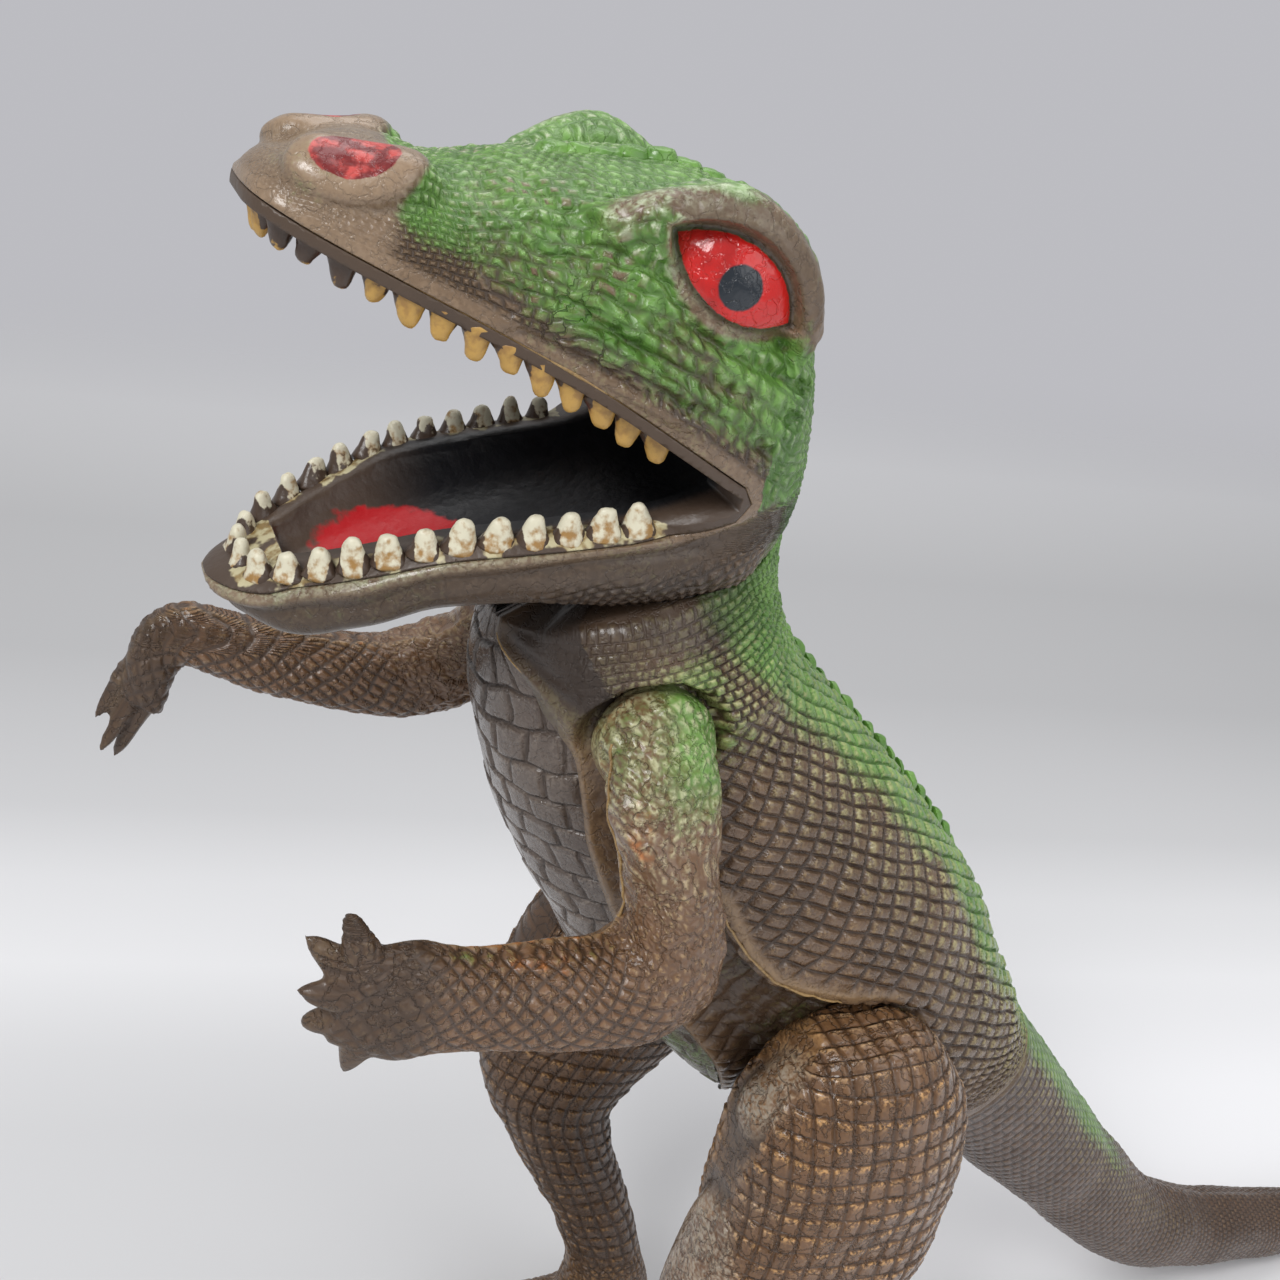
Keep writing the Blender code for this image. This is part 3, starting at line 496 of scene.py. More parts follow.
class Wire:
    """The output of a node, which can be used in sums.

    Least and most take one of two, floor and fraction part a number at its point, size
    drops the sign and modulo leaves a remainder that is never negative.
    """

    __add__, __radd__ = math_node("ADD"), math_node("ADD", True)
    __sub__, __rsub__ = math_node("SUBTRACT"), math_node("SUBTRACT", True)
    __mul__, __rmul__ = math_node("MULTIPLY"), math_node("MULTIPLY", True)
    least, most, modulo = math_node("MINIMUM"), math_node("MAXIMUM"), math_node("FLOORED_MODULO")
    floor, fraction, size = math_node("FLOOR"), math_node("FRACT"), math_node("ABSOLUTE")

    def __init__(self, graph: "Graph", socket: bpy.types.NodeSocket) -> None:
        """Hold a socket and the graph that it is in."""
        self.graph = graph
        self.socket = socket

    def ease(self, low: float, high: float) -> "Wire":
        """A soft step from 0 at low to 1 at high."""
        settings = {"interpolation_type": "SMOOTHSTEP"}
        return self.graph.node("ShaderNodeMapRange", settings, {0: self, 1: low, 2: high, 3: 0.0, 4: 1.0})


class Graph:
    """A node tree that is written as expressions."""

    def __init__(self, tree: bpy.types.NodeTree) -> None:
        """Empty a tree, ready for new nodes."""
        self.tree = tree
        tree.nodes.clear()

    def node(self, kind: str, settings: Optional[Dict[str, Any]] = None,
             inputs: Optional[Dict[Union[int, str], Any]] = None, output: Union[int, str] = 0) -> Wire:
        """Add any node.

        Args:
            kind: Type name of the node.
            settings: Its properties; stops are (place, colour) pairs of a ramp.
            inputs: Values or links of its sockets, by number or name.
            output: The output that is wanted.

        Returns:
            That output.
        """
        made = self.tree.nodes.new(kind)
        for name, value in (settings or {}).items():
            if name == "stops":
                ramp = made.color_ramp.elements
                while len(ramp) < len(value):
                    ramp.new(0.5)
                for stop, (place, colour) in zip(ramp, value):
                    stop.position = place
                    stop.color = (*colour, 1.0)
            else:
                setattr(made, name, value)
        for name, value in (inputs or {}).items():
            if isinstance(value, Wire):
                self.tree.links.new(value.socket, made.inputs[name])
            else:
                made.inputs[name].default_value = value
        return Wire(self, made.outputs[output] if len(made.outputs) else None)

    def attribute(self, name: str) -> Wire:
        """A number that is stored on the mesh."""
        if isinstance(self.tree, bpy.types.GeometryNodeTree):
            return self.node("GeometryNodeInputNamedAttribute", {"data_type": "FLOAT"}, {"Name": name})
        return self.node("ShaderNodeAttribute", {"attribute_name": name}, output="Fac")

    def store(self, geometry: Wire, name: str, value: Wire) -> Wire:
        """Store a number on each point of a geometry."""
        return self.node("GeometryNodeStoreNamedAttribute", {"data_type": "FLOAT", "domain": "POINT"},
                {"Geometry": geometry, "Name": name, "Value": value})

    def noise(self, place: Wire, scale: float, detail: float = 3.0, output: str = "Fac") -> Wire:
        """Even noise between 0 and 1."""
        return self.node("ShaderNodeTexNoise", {"noise_dimensions": "3D"},
                {"Vector": place, "Scale": scale, "Detail": detail}, output)

    def vector(self, operation: str, first: Any, second: Any = None) -> Wire:
        """Add one Vector Math node."""
        inputs = {0: first}
        if second is not None:
            inputs["Scale" if operation == "SCALE" else 1] = second
        output = "Value" if operation in ("LENGTH", "DOT_PRODUCT") else "Vector"
        return self.node("ShaderNodeVectorMath", {"operation": operation}, inputs, output)

    def joined(self, *parts: Number) -> Wire:
        """A vector of its components."""
        return self.node("ShaderNodeCombineXYZ", inputs=dict(enumerate(parts)))

    def parted(self, vector: Wire) -> List[Wire]:
        """The components of a vector."""
        node = self.node("ShaderNodeSeparateXYZ", inputs={0: vector}).socket.node
        return [Wire(self, output) for output in node.outputs]

    def blend(self, factor: Number, first: Union[Colour, Wire], second: Union[Colour, Wire]) -> Wire:
        """Mix two colours."""
        filled = [colour if isinstance(colour, Wire) else (*colour, 1.0) for colour in (first, second)]
        settings = {"data_type": "RGBA", "blend_type": "MIX", "clamp_factor": True}
        return self.node("ShaderNodeMix", settings, {0: factor, 6: filled[0], 7: filled[1]}, 2)

    def glossy(self, colour: Wire, roughness: Number, height: Wire, strength: float, depth: float,
               others: Optional[Dict[str, float]] = None) -> Wire:
        """A Principled shader over fine relief.

        Args:
            colour: Its colour.
            roughness: Its roughness.
            height: Height of the relief, from 0 to 1.
            strength: Strength of the relief.
            depth: How deep it is, in metres.
            others: Values of further sockets.

        Returns:
            The shader.
        """
        relief = self.node("ShaderNodeBump", inputs={"Strength": strength, "Distance": depth,
                "Height": height},
                output="Normal")
        inputs = {"Base Color": colour, "Roughness": roughness, "Normal": relief, **(others or {})}
        return self.node("ShaderNodeBsdfPrincipled", inputs=inputs)


def run_tree(obj: Piece, inputs: Dict[str, float], build: Callable[[Graph, Dict[str, Wire]], Wire],
        material: Finish) -> Piece:
    """Run a Geometry Nodes tree on an object and keep the result as its plain mesh.

    Args:
        obj: The object.
        inputs: Values of the tree's named inputs.
        build: Adds the nodes to a graph with these inputs and returns the geometry.
        material: Material of the result.

    Returns:
        The same object.
    """
    tree = bpy.data.node_groups.new(obj.name, "GeometryNodeTree")
    kinds = {"Geometry": "NodeSocketGeometry", **dict.fromkeys(inputs, "NodeSocketFloat")}
    sockets = {name: tree.interface.new_socket(name, in_out="INPUT", socket_type=kind).identifier
               for name, kind in kinds.items()}
    tree.interface.new_socket("Geometry", in_out="OUTPUT", socket_type="NodeSocketGeometry")
    graph = Graph(tree)
    entry = graph.node("NodeGroupInput").socket.node
    whole = build(graph, {name: Wire(graph, entry.outputs[name]) for name in kinds})
    whole = graph.node("GeometryNodeRealizeInstances", inputs={0: whole})
    whole = graph.node("GeometryNodeSetMaterial", inputs={"Geometry": whole, "Material": material})
    graph.node("NodeGroupOutput", inputs={0: whole})
    modifier = obj.modifiers.new("nodes", "NODES")
    modifier.node_group = tree
    for name, value in inputs.items():
        modifier[sockets[name]] = value
    return evaluated(obj)


class Pattern(Enum):
    """How moulded scales are laid out."""

    DIAMOND = "diamond"
    BRICK = "brick"
    PEBBLE = "pebble"
    SHINGLE = "shingle"


@dataclass(frozen=True)
class Scales:
    """Moulded scales, raised by a Geometry Nodes tree and drawn sharply by the paint.

    The tree reads the attributes rows, columns, trim and second from the skin, and stores
    the warped columns and rows as across and along for the paint.
    """

    name: str
    first: Pattern
    second: Pattern
    height: float
    groove: float = 0.16
    warp: float = 0.35
    warp_size: float = 0.012
    finer: float = 1.0

    def apply(self, obj: Piece, material: Finish) -> None:
        """Raise the scales on a skin and leave it a plain mesh."""
        run_tree(obj, {"Height": self.height, "Warp": self.warp}, self._raise, material)

    def _raise(self, graph: Graph, entry: Dict[str, Wire]) -> Wire:
        """Move the points of a skin by the height of its scales."""
        place = graph.node("GeometryNodeInputPosition")
        uneven = graph.parted(graph.noise(place, 1 / self.warp_size, 1.0, "Color"))
        across = graph.attribute("columns") + (uneven[0] - 0.5) * entry["Warp"]
        along = graph.attribute("rows") + (uneven[1] - 0.5) * entry["Warp"]
        raised, cell, _ = self.profile(graph, across, along)
        lift = (raised * (0.75 + cell * 0.5) - 0.5) * graph.attribute("trim") * entry["Height"]
        offset = graph.vector("SCALE", graph.node("GeometryNodeInputNormal"), lift)
        moved = graph.node("GeometryNodeSetPosition", inputs={"Geometry": entry["Geometry"],
                "Offset": offset})
        return graph.store(graph.store(moved, "across", across), "along", along)

    def profile(self, graph: Graph, across: Wire, along: Wire) -> Tuple[Wire, ...]:
        """Height of the scales, from 0 in the hollows between them to 1, a chance value of each and its upper edge,
        which takes painted highlights.
        """
        values = self._height(graph, self.first, across, along)
        if self.second is not self.first or self.finer != 1.0:
            others = self._height(graph, self.second, across * self.finer, along * self.finer)
            second = graph.attribute("second").ease(0.35, 0.65)
            values = tuple(value * (1 - second) + other * second for value, other in zip(values, others))
        return values

    def _height(self, graph: Graph, pattern: Pattern, columns: Wire, rows: Wire) -> Tuple[Wire, ...]:
        """Height, chance value and upper edge of one pattern."""
        if pattern is Pattern.DIAMOND:
            columns, rows = columns + rows, rows - columns
        if pattern is Pattern.BRICK:
            columns = columns + rows.floor().modulo(2.0) * 0.5
        spot = graph.joined(columns, rows)
        if pattern is Pattern.PEBBLE:
            reach = {"Vector": spot, "Scale": 1.0, "Randomness": 0.8}
            settings = {"voronoi_dimensions": "2D"}
            shade = graph.node("ShaderNodeTexVoronoi", settings, reach, "Color")
            settings["feature"] = "DISTANCE_TO_EDGE"
            edge = graph.node("ShaderNodeTexVoronoi", settings, reach, "Distance")
            return edge.ease(0.0, self.groove * 1.2), shade.size(), edge.ease(0.0, 0.30)
        corner = graph.joined(columns.floor(), rows.floor())
        cell = graph.node("ShaderNodeTexWhiteNoise", {"noise_dimensions": "2D"}, {"Vector": corner}, "Value")
        across = 0.5 - (columns.fraction() - 0.5).size()
        # Upper edge of each scale, which the paint uses for painted highlights.
        edge = 1 - (columns if pattern is Pattern.DIAMOND else rows).fraction().ease(0.18, 0.52)
        if pattern is Pattern.SHINGLE:
            slope = rows.fraction()
            raised = slope.ease(0.0, 0.20) * (1.0 - slope * 0.50) * (0.25 + across.ease(0.0,
                    self.groove) * 0.75)
            return raised, cell, edge
        along = 0.5 - (rows.fraction() - 0.5).size()
        return across.least(along).ease(0.0, self.groove), cell, edge


FLANK_SCALES = Scales("flank_scales", Pattern.DIAMOND, Pattern.BRICK, 0.0009, 0.22, warp=0.50, finer=2.2)
BELLY_SCUTES = Scales("belly_scutes", Pattern.BRICK, Pattern.BRICK, 0.0009, 0.09, warp=0.75)
TAIL_SCALES = Scales("tail_scales", Pattern.BRICK, Pattern.BRICK, 0.00030, 0.28, warp=0.30)
ARM_SCALES = Scales("arm_scales", Pattern.PEBBLE, Pattern.DIAMOND, 0.0004, 0.34, warp=2.0, finer=0.45)
LEG_SCALES = Scales("leg_scales", Pattern.SHINGLE, Pattern.PEBBLE, 0.0008, 0.20, warp=0.50, finer=1.8)
HEAD_SCALES = Scales("head_scales", Pattern.BRICK, Pattern.BRICK, 0.00036, 0.42, warp=2.2, warp_size=0.008,
        finer=0.72)


@dataclass(frozen=True)
class Paint:
    """A finish with a name, which makes its own material."""

    name: str

    def material(self) -> Finish:
        """Make the material."""
        material = bpy.data.materials.new(self.name)
        material.use_nodes = True
        graph = Graph(material.node_tree)
        surface = self.surface(graph, graph.node("ShaderNodeTexCoord", output="Object"))
        graph.node("ShaderNodeOutputMaterial", inputs={"Surface": surface})
        return material

    def surface(self, graph: Graph, place: Wire) -> Wire:
        """The shader at a place on the piece."""
        raise NotImplementedError(self.name)


@dataclass(frozen=True)
class SprayedVinyl(Paint):
    """Soft vinyl in its own colour, sprayed and rubbed over by hand.

    The masks are attributes: spray for the sprayed coat, pale for brushed-on pale paint together
    with painted highlights, bare for smooth edges where wear has taken the paint off, scuff for
    rubbed places, tops for scales rubbed back to the vinyl and shade for painted shade under
    and between parts, which also darkens a few places evenly. The hollows between the scales
    and the creases get painted shade as well, and the scales' upper edges get painted highlights.
    """

    scales: Scales
    relief: float = 0.45
    crinkle: float = 0.10
    # How much wear and painted highlight the scales' upper edges get.
    rub_and_highlight: float = 0.85
    patchy: float = 0.15
    base: Colour = (0.118, 0.066, 0.037)
    # Colour of the painted shade in the hollows, the creases and the shaded places.
    deep: Colour = (0.030, 0.017, 0.010)
    # Colour of bare wear and of the painted highlights on the scales' upper edges.
    wear_and_highlight: Colour = (0.420, 0.270, 0.130)
    spray: Colour = (0.185, 0.400, 0.075)
    spray_deep: Colour = (0.085, 0.235, 0.030)
    # Colour of brushed-on pale paint and of painted highlights.
    pale: Colour = (0.520, 0.500, 0.240)
    scuff: Colour = (0.560, 0.190, 0.050)
    roughness: float = 0.27

    def surface(self, graph: Graph, place: Wire) -> Wire:
        """The painted skin."""
        colour, roughness = self.paint(graph, place)
        height = (self.raised(graph)[0] * self.relief + graph.noise(place, 1300) * 0.07
                  + self.creases(graph, place) * self.crinkle + graph.noise(place, 420) * 0.16
                  + graph.noise(place, 150) * 0.20)
        coat = {"Specular IOR Level": 0.5, "Coat Roughness": 0.15, "Coat Weight": 0.30}
        return graph.glossy(colour, roughness, height, 1.0, MM, coat)

    def creases(self, graph: Graph, place: Wire) -> Wire:
        """Fine wandering creases, 0 in them and 1 between them."""
        return (graph.noise(place, 330, 3.0) - 0.5).size().ease(0.0, 0.045)

    def raised(self, graph: Graph) -> Tuple[Wire, ...]:
        """Height of the scales, even where they are trimmed away, their chance values and upper edges."""
        raised, cell, edge = self.scales.profile(graph, graph.attribute("across"), graph.attribute("along"))
        trim = graph.attribute("trim")
        return raised * trim + (1 - trim) * 0.7, cell, edge * trim + (1 - trim) * 0.6

    def paint(self, graph: Graph, place: Wire) -> Tuple[Wire, Wire]:
        """Colour of the skin, with its painted shade and highlights, and its roughness."""
        raised, cell, edge = self.raised(graph)
        patches = graph.noise(place, 45).ease(0.35, 0.65)
        speckle = graph.noise(place, 420)
        dust = graph.noise(place, 1300)
        coat = graph.blend(patches * 0.45 + cell * 0.35, self.base, tuple(0.60 * part for part in self.base))
        # Wear with painted highlights on the upper edges of the raised scales.
        rub_and_highlight = raised.ease(0.40, 0.90) * (0.20 + edge * 0.80) * dust.ease(0.42, 0.60)
        rub_and_highlight = rub_and_highlight * speckle.ease(0.36, 0.56) * self.rub_and_highlight
        coat = graph.blend(rub_and_highlight, coat, self.wear_and_highlight)
        coat = graph.blend(graph.attribute("bare") * (0.7 + dust * 0.6), coat, self.wear_and_highlight)
        sprayed = graph.attribute("spray")
        mist = (sprayed + (speckle - 0.5) * 0.45 + (dust - 0.5) * 0.45 + (raised - 0.6) * 0.15
                + (patches - 0.5) * self.patchy).ease(0.22, 0.80)
        green = graph.blend(graph.noise(place, 120).ease(0.3, 0.7), self.spray, self.spray_deep)
        coat = graph.blend(mist * 0.93, coat, green)
        tops = graph.attribute("tops") * raised.ease(0.50, 0.90) * speckle.ease(0.34, 0.54)
        coat = graph.blend(tops, coat, self.base)
        # Pale paint brushed on, with painted highlights on the scales' upper edges and on lit places.
        pale_paint_and_highlight = graph.attribute("pale") * (edge * 0.85 + 0.15) * raised.ease(0.30, 0.85)
        coat = graph.blend(pale_paint_and_highlight * (dust * 0.6 + speckle * 0.4).ease(0.38, 0.60) * 0.9, coat, self.pale)
        scuffs = (graph.attribute("scuff") + (speckle - 0.55) * 1.2).ease(0.35, 0.75)
        coat = graph.blend(scuffs * 0.8, coat, self.scuff)
        # Painted shade in the hollows between the scales, dark green under the spray.
        groove_shade = graph.blend(mist * 0.85, self.deep, tuple(0.45 * part for part in self.spray_deep))
        coat = graph.blend((1 - raised.ease(0.0, 0.50)) * (0.72 - mist * 0.25), coat, groove_shade)
        # Painted shade in the fine creases and wherever the shade mask is set.
        coat = graph.blend((1 - self.creases(graph, place)) * self.crinkle, coat, self.deep)
        shade = graph.attribute("shade")
        coat = graph.blend(shade, coat, self.deep)
        roughness = self.roughness + (dust - 0.5) * 0.22 + (1 - raised) * 0.12 + mist * 0.05 + shade * 0.22
        return coat, roughness


@dataclass(frozen=True)
class EyePaint:
    """Place and colours of the painted eye: two arcs that meet in corners, with a pupil."""

    middle: Triple = (38.2, 303.5, 33)
    facing: Triple = (0.22, 0.10, 0.97)
    slope: float = 31
    length: float = 22
    width: float = 10.9
    pupil: Tuple[float, float] = (-0.6, 0.6)
    pupil_radius: float = 3.4
    red: Colour = (0.610, 0.012, 0.010)
    dark: Colour = (0.012, 0.018, 0.026)

    def axes(self, side: int) -> Tuple[Vector, Vector, Vector, Vector]:
        """Middle, length axis, width axis and facing of one side's eye, in the world."""
        middle = Vector(spots([self.middle])[0])
        middle.x = ORIGIN.x + side * (middle.x - ORIGIN.x)
        forward, up, across = self.facing
        facing = Vector((side * across, -forward, up)).normalized()
        angle = math.radians(self.slope)
        long = Vector((0, -math.cos(angle), math.sin(angle)))
        long = (long - facing * long.dot(facing)).normalized()
        wide = long.cross(facing) * -side
        return middle, long, wide, facing

    def lid(self, points: np.ndarray) -> np.ndarray:
        """1 on the broad lid above each eye and 0 elsewhere."""
        total = np.zeros(len(points))
        for side in (-1, 1):
            middle, _, wide, facing = self.axes(side)
            away = (points - np.array(middle)) / MM
            around = self.inside(points, side)
            outer = ease(away @ np.array(facing), -6.0, -2.5)
            above = ease(-away @ np.array(wide), 0.5, 4.0) * ease(-around, 0.0, 0.5)
            total += ease(around, -7.0, -4.0) * above * outer
        return np.clip(total, 0.0, 1.0)

    def arcs(self) -> Tuple[float, float]:
        """Radius of the two arcs and how far their middles lie off the eye's middle, in metres."""
        radius = (self.length ** 2 + self.width ** 2) / (4 * self.width) * MM
        return radius, radius - self.width / 2 * MM

    def inside(self, points: np.ndarray, side: int) -> np.ndarray:
        """How far places lie inside the eye's outline, in millimetres."""
        middle, long, wide, facing = self.axes(side)
        away = points - np.array(middle)
        first, second, depth = (away @ np.array(axis) for axis in (long, wide, facing))
        radius, shift = self.arcs()
        inner = radius - np.maximum(np.hypot(first, second - shift), np.hypot(first, second + shift))
        return np.where(depth > -0.012, inner / MM, -50)


@dataclass(frozen=True)
class HeadVinyl(SprayedVinyl):
    """The head's skin, with the eyes and nostrils painted on it."""

    eye: EyePaint = field(default_factory=EyePaint)

    def paint(self, graph: Graph, place: Wire) -> Tuple[Wire, Wire]:
        """Colour and roughness with the painted features over the skin."""
        coat, roughness = super().paint(graph, place)
        speckle = graph.noise(place, 380)
        wobble = (graph.noise(place, 700, 2.0) - 0.5) * 0.0012
        nostril = (graph.attribute("nostril") + (speckle - 0.5) * 0.6).ease(0.40, 0.55)
        pink = graph.blend(speckle.ease(0.45, 0.65), (0.17, 0.008, 0.008), (0.56, 0.07, 0.06))
        coat = graph.blend(nostril, coat, pink)
        radius, shift = self.eye.arcs()
        pupil_radius = self.eye.pupil_radius * MM
        for side in (-1, 1):
            middle, *axes = self.eye.axes(side)
            away = graph.vector("SUBTRACT", place, middle)
            first, second, depth = (graph.vector("DOT_PRODUCT", away, axis) for axis in axes)
            reach = self._reach(graph, first, second - shift).most(self._reach(graph, first, second + shift))
            front = depth.ease(-0.011, -0.010)
            edge = radius - reach + wobble * 0.5
            # Painted shade in the groove just outside the eye's outline.
            coat = graph.blend(edge.ease(-0.0013, -0.0002) * front * 0.7, coat, self.deep)
            inside = edge.ease(-0.0001, 0.0001) * front
            smear = graph.noise(place, 150).ease(0.50, 0.72) * 0.6
            coat = graph.blend(inside, coat, graph.blend(smear, self.eye.red, (0.30, 0.008, 0.008)))
            spot = self._reach(graph, first - self.eye.pupil[0] * MM, second - self.eye.pupil[1] * MM)
            pupil = (spot + wobble * 0.30).ease(pupil_radius + 0.0002, pupil_radius - 0.0002)
            coat = graph.blend(pupil * inside, coat, self.eye.dark)
            roughness = roughness * (1 - inside) + inside * 0.16
        return coat, roughness

    @staticmethod
    def _reach(graph: Graph, first: Wire, second: Wire) -> Wire:
        """Distance from two components."""
        return graph.vector("LENGTH", graph.joined(first, second))
        return graph.vector("LENGTH", vector)


@dataclass(frozen=True)
class ToothPaint(Paint):
    """Brown vinyl teeth with a hand-dabbed ivory coat that runs from tip to root."""

    ivory: Colour
    bare: Colour = (0.075, 0.048, 0.034)
    stain: Colour = (0.36, 0.20, 0.06)

    def surface(self, graph: Graph, place: Wire) -> Wire:
        """The painted tooth; dabbed says how far the paint comes down it."""
        speckle = graph.noise(place, 650, 4.0)
        tall = graph.attribute("tall")
        beside = graph.attribute("beside").ease(0.45, 0.95)
        dabbed = graph.attribute("dabbed")
        cover = (tall * 0.7 + dabbed * 1.7 - 0.75 - beside * 1.1 + (speckle - 0.5) * 1.4).ease(-0.10, 0.10)
        paint = graph.blend((speckle * 1.2 + tall * 0.3).ease(0.50, 0.85), self.stain, self.ivory)
        colour = graph.blend(cover, self.bare, paint)
        return graph.glossy(colour, 0.30 + cover * 0.12, speckle, 0.6, 0.0003)


@dataclass
class Studs:
    """Small rounded studs, such as teeth or crest bumps, set on points by Geometry Nodes."""

    name: str
    places: List[Vector] = field(default_factory=list)
    turns: List[Triple] = field(default_factory=list)
    sizes: List[Triple] = field(default_factory=list)
    dabs: List[float] = field(default_factory=list)
    taper: float = 0.36
    flare: float = 0.30

    def add(self, place: Vector, axis: Vector, size: Triple, dab: float = 0.0,
            out: Optional[Vector] = None) -> None:
        """Add a stud.

        Args:
            place: Middle of its foot.
            axis: Direction that it points in.
            size: Half width along its row, half width across it and height, in metres.
            dab: How much of it is painted, from 0 to 1.
            out: Direction that its flat side faces.
        """
        upright = axis.normalized()
        side = (out or Vector((1, 0, 0)))
        side = (side - upright * side.dot(upright)).normalized()
        turn = Matrix((side.cross(upright) * -1, side, upright)).transposed()
        self.places.append(place)
        self.turns.append(tuple(turn.to_euler("XYZ")))
        self.sizes.append(size)
        self.dabs.append(dab)

    def build(self, material: Finish) -> Piece:
        """Make all the studs one plain mesh."""
        data = bpy.data.meshes.new(self.name)
        data.from_pydata([tuple(place) for place in self.places], [], [])
        obj = linked(self.name, data)
        for name, values in (("turn", self.turns), ("reach", self.sizes)):
            attribute = data.attributes.new(name, "FLOAT_VECTOR", "POINT")
            attribute.data.foreach_set("vector", np.array(values, dtype=np.float32).ravel())
        note(obj, dabbed=np.array(self.dabs))
        return run_tree(obj, {"Taper": self.taper}, self._stand, material)

    def _stand(self, graph: Graph, entry: Dict[str, Wire]) -> Wire:
        """Set a stud on every point."""
        place = graph.node("GeometryNodeInputPosition")
        across, along, tall = graph.parted(place)
        rise = tall.most(0.0)
        root = 1 - rise
        shrink = (1 + rise * rise * rise * rise * 0.9) * (1 - rise * entry["Taper"])
        shrink = shrink * (1 + root * root * root * self.flare)
        shaped = graph.joined(across * shrink, along * shrink, rise + (tall - rise) * 0.25)
        ball = graph.node("GeometryNodeMeshUVSphere", inputs={"Segments": 16, "Rings": 16, "Radius": 1.0})
        ball = graph.node("GeometryNodeSetPosition", inputs={"Geometry": ball, "Position": shaped})
        ball = graph.store(graph.store(ball, "tall", tall.most(0.0)), "beside", across.size())
        points = graph.node("GeometryNodeMeshToPoints", inputs={"Mesh": entry["Geometry"]})
        turn, reach = (graph.node("GeometryNodeInputNamedAttribute", {"data_type": "FLOAT_VECTOR"},
                {"Name": name})
                for name in ("turn", "reach"))
        studs = graph.node("GeometryNodeInstanceOnPoints",
                inputs={"Points": points, "Instance": ball, "Rotation": turn, "Scale": reach})
        whole = graph.node("GeometryNodeRealizeInstances", inputs={0: studs})
        shift = graph.vector("SUBTRACT", graph.noise(place, 420, 1.0, "Color"), (0.5, 0.5, 0.5))
        shift = graph.vector("SCALE", shift, 0.0009)
        whole = graph.node("GeometryNodeSetPosition", inputs={"Geometry": whole, "Offset": shift})
        whole = graph.store(whole, "spray", graph.attribute("dabbed"))
        return graph.node("GeometryNodeSetShadeSmooth", inputs={"Geometry": whole})


def ridge(graph: Graph, entry: Dict[str, Wire]) -> Wire:
    """An uneven round ridge along each line of a mesh."""
    curve = graph.node("GeometryNodeMeshToCurve", inputs={"Mesh": entry["Geometry"]})
    noise = graph.noise(graph.node("GeometryNodeInputPosition"), 240, 2.0)
    size = entry["Radius"] * (noise * 1.8 + 0.1)
    curve = graph.node("GeometryNodeSetCurveRadius", inputs={"Curve": curve, "Radius": size})
    ring = graph.node("GeometryNodeCurvePrimitiveCircle", inputs={"Resolution": 6, "Radius": 1.0})
    whole = graph.node("GeometryNodeCurveToMesh", inputs={"Curve": curve, "Profile Curve": ring,
            "Fill Caps": True})
    if "Scale" in whole.socket.node.inputs:
        graph.tree.links.new(size.socket, whole.socket.node.inputs["Scale"])
    return whole


def flash(name: str, paths: Sequence[Sequence[Vector]], radius: float, material: Finish) -> Piece:
    """Thin uneven ridges of moulding flash along paths, made by Geometry Nodes.

    Args:
        name: Name of the object.
        paths: Places that each ridge follows, in metres.
        radius: Mean radius of a ridge.
        material: Its material.

    Returns:
        The ridges as one plain mesh.
    """
    corners: List[Triple] = []
    edges: List[Tuple[int, int]] = []
    for path in paths:
        first = len(corners)
        corners += [tuple(place) for place in path]
        edges += [(corner, corner + 1) for corner in range(first, len(corners) - 1)]
    data = bpy.data.meshes.new(name)
    data.from_pydata(corners, edges, [])
    return run_tree(linked(name, data), {"Radius": radius}, ridge, material)


def snapped(obj: Piece, stroke: Stroke) -> List[List[Vector]]:
    """A stroke laid on an object's surface, on both sides of the figure.

    Args:
        obj: The object.
        stroke: Corners of the stroke.

    Returns:
        One path for each side.
    """
    corners = spots(stroke)
    run = run_of(corners)
    dense = spaced(corners, run, np.linspace(0, run[-1], int(run[-1] / MM)))
    paths: List[List[Vector]] = []
    for side in (-1, 1):
        path = []
        for x, y, z in dense:
            _, place, normal, _ = obj.closest_point_on_mesh(Vector((ORIGIN.x + side * (x - ORIGIN.x), y, z)))
            path.append(place + normal * 0.0001)
        paths.append(path)
    return paths


LIP_SEAM: Stroke = ((103, 306, 5), (99, 303, 14), (93, 299, 17), (82, 294, 21), (71, 290, 24), (56, 285, 29),
        (44, 279, 32), (36, 275, 32))
FLANK_SEAM: Stroke = ((19, 188, 34), (13, 179, 36), (6, 172, 37), (-1, 168, 38), (-10, 165, 38))


def finish_piece(obj: Piece, body: str, replaced: Sequence[str] = (), smooth: bool = True) -> None:
    """Shade a piece, hang it on its body, hide the CAD nodes that it replaces and log its faces.

    Args:
        obj: The piece, with its material set.
        body: Body that it rides on.
        replaced: CAD nodes that it replaces.
        smooth: Whether its faces are shaded smooth.
    """
    if smooth:
        obj.data.shade_smooth()
    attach(obj, body)
    if replaced:
        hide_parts(*replaced)
    LOG.info("%s: %d faces on %s", obj.name, len(obj.data.polygons), body)


def set_material(obj: Piece, material: Finish) -> None:
    """Give an object one material."""
    obj.data.materials.clear()
    obj.data.materials.append(material)


SPRAY_EDGE = ((38, 272), (33, 250), (26, 239), (17, 230), (5.0, 222), (-6.0, 213),
        (-21, 200), (-36, 186), (-52, 163), (-67, 144), (-84, 125))


ARM_SEAM: Stroke = ((46, 225, 33), (47, 217, 35), (46, 209, 38), (45, 203, 42), (45, 197, 43))


def body_spray(places: np.ndarray) -> np.ndarray:
    """How much green the spray left on the trunk, from 0 to 1."""
    edge = ease(-side_of(places, SPRAY_EDGE), -7.0, 7.0)
    return np.maximum(edge, 0.90 * bump(near(places, ((32, 236, 32), (26, 232, 34), (22, 226, 35))), 8.0))


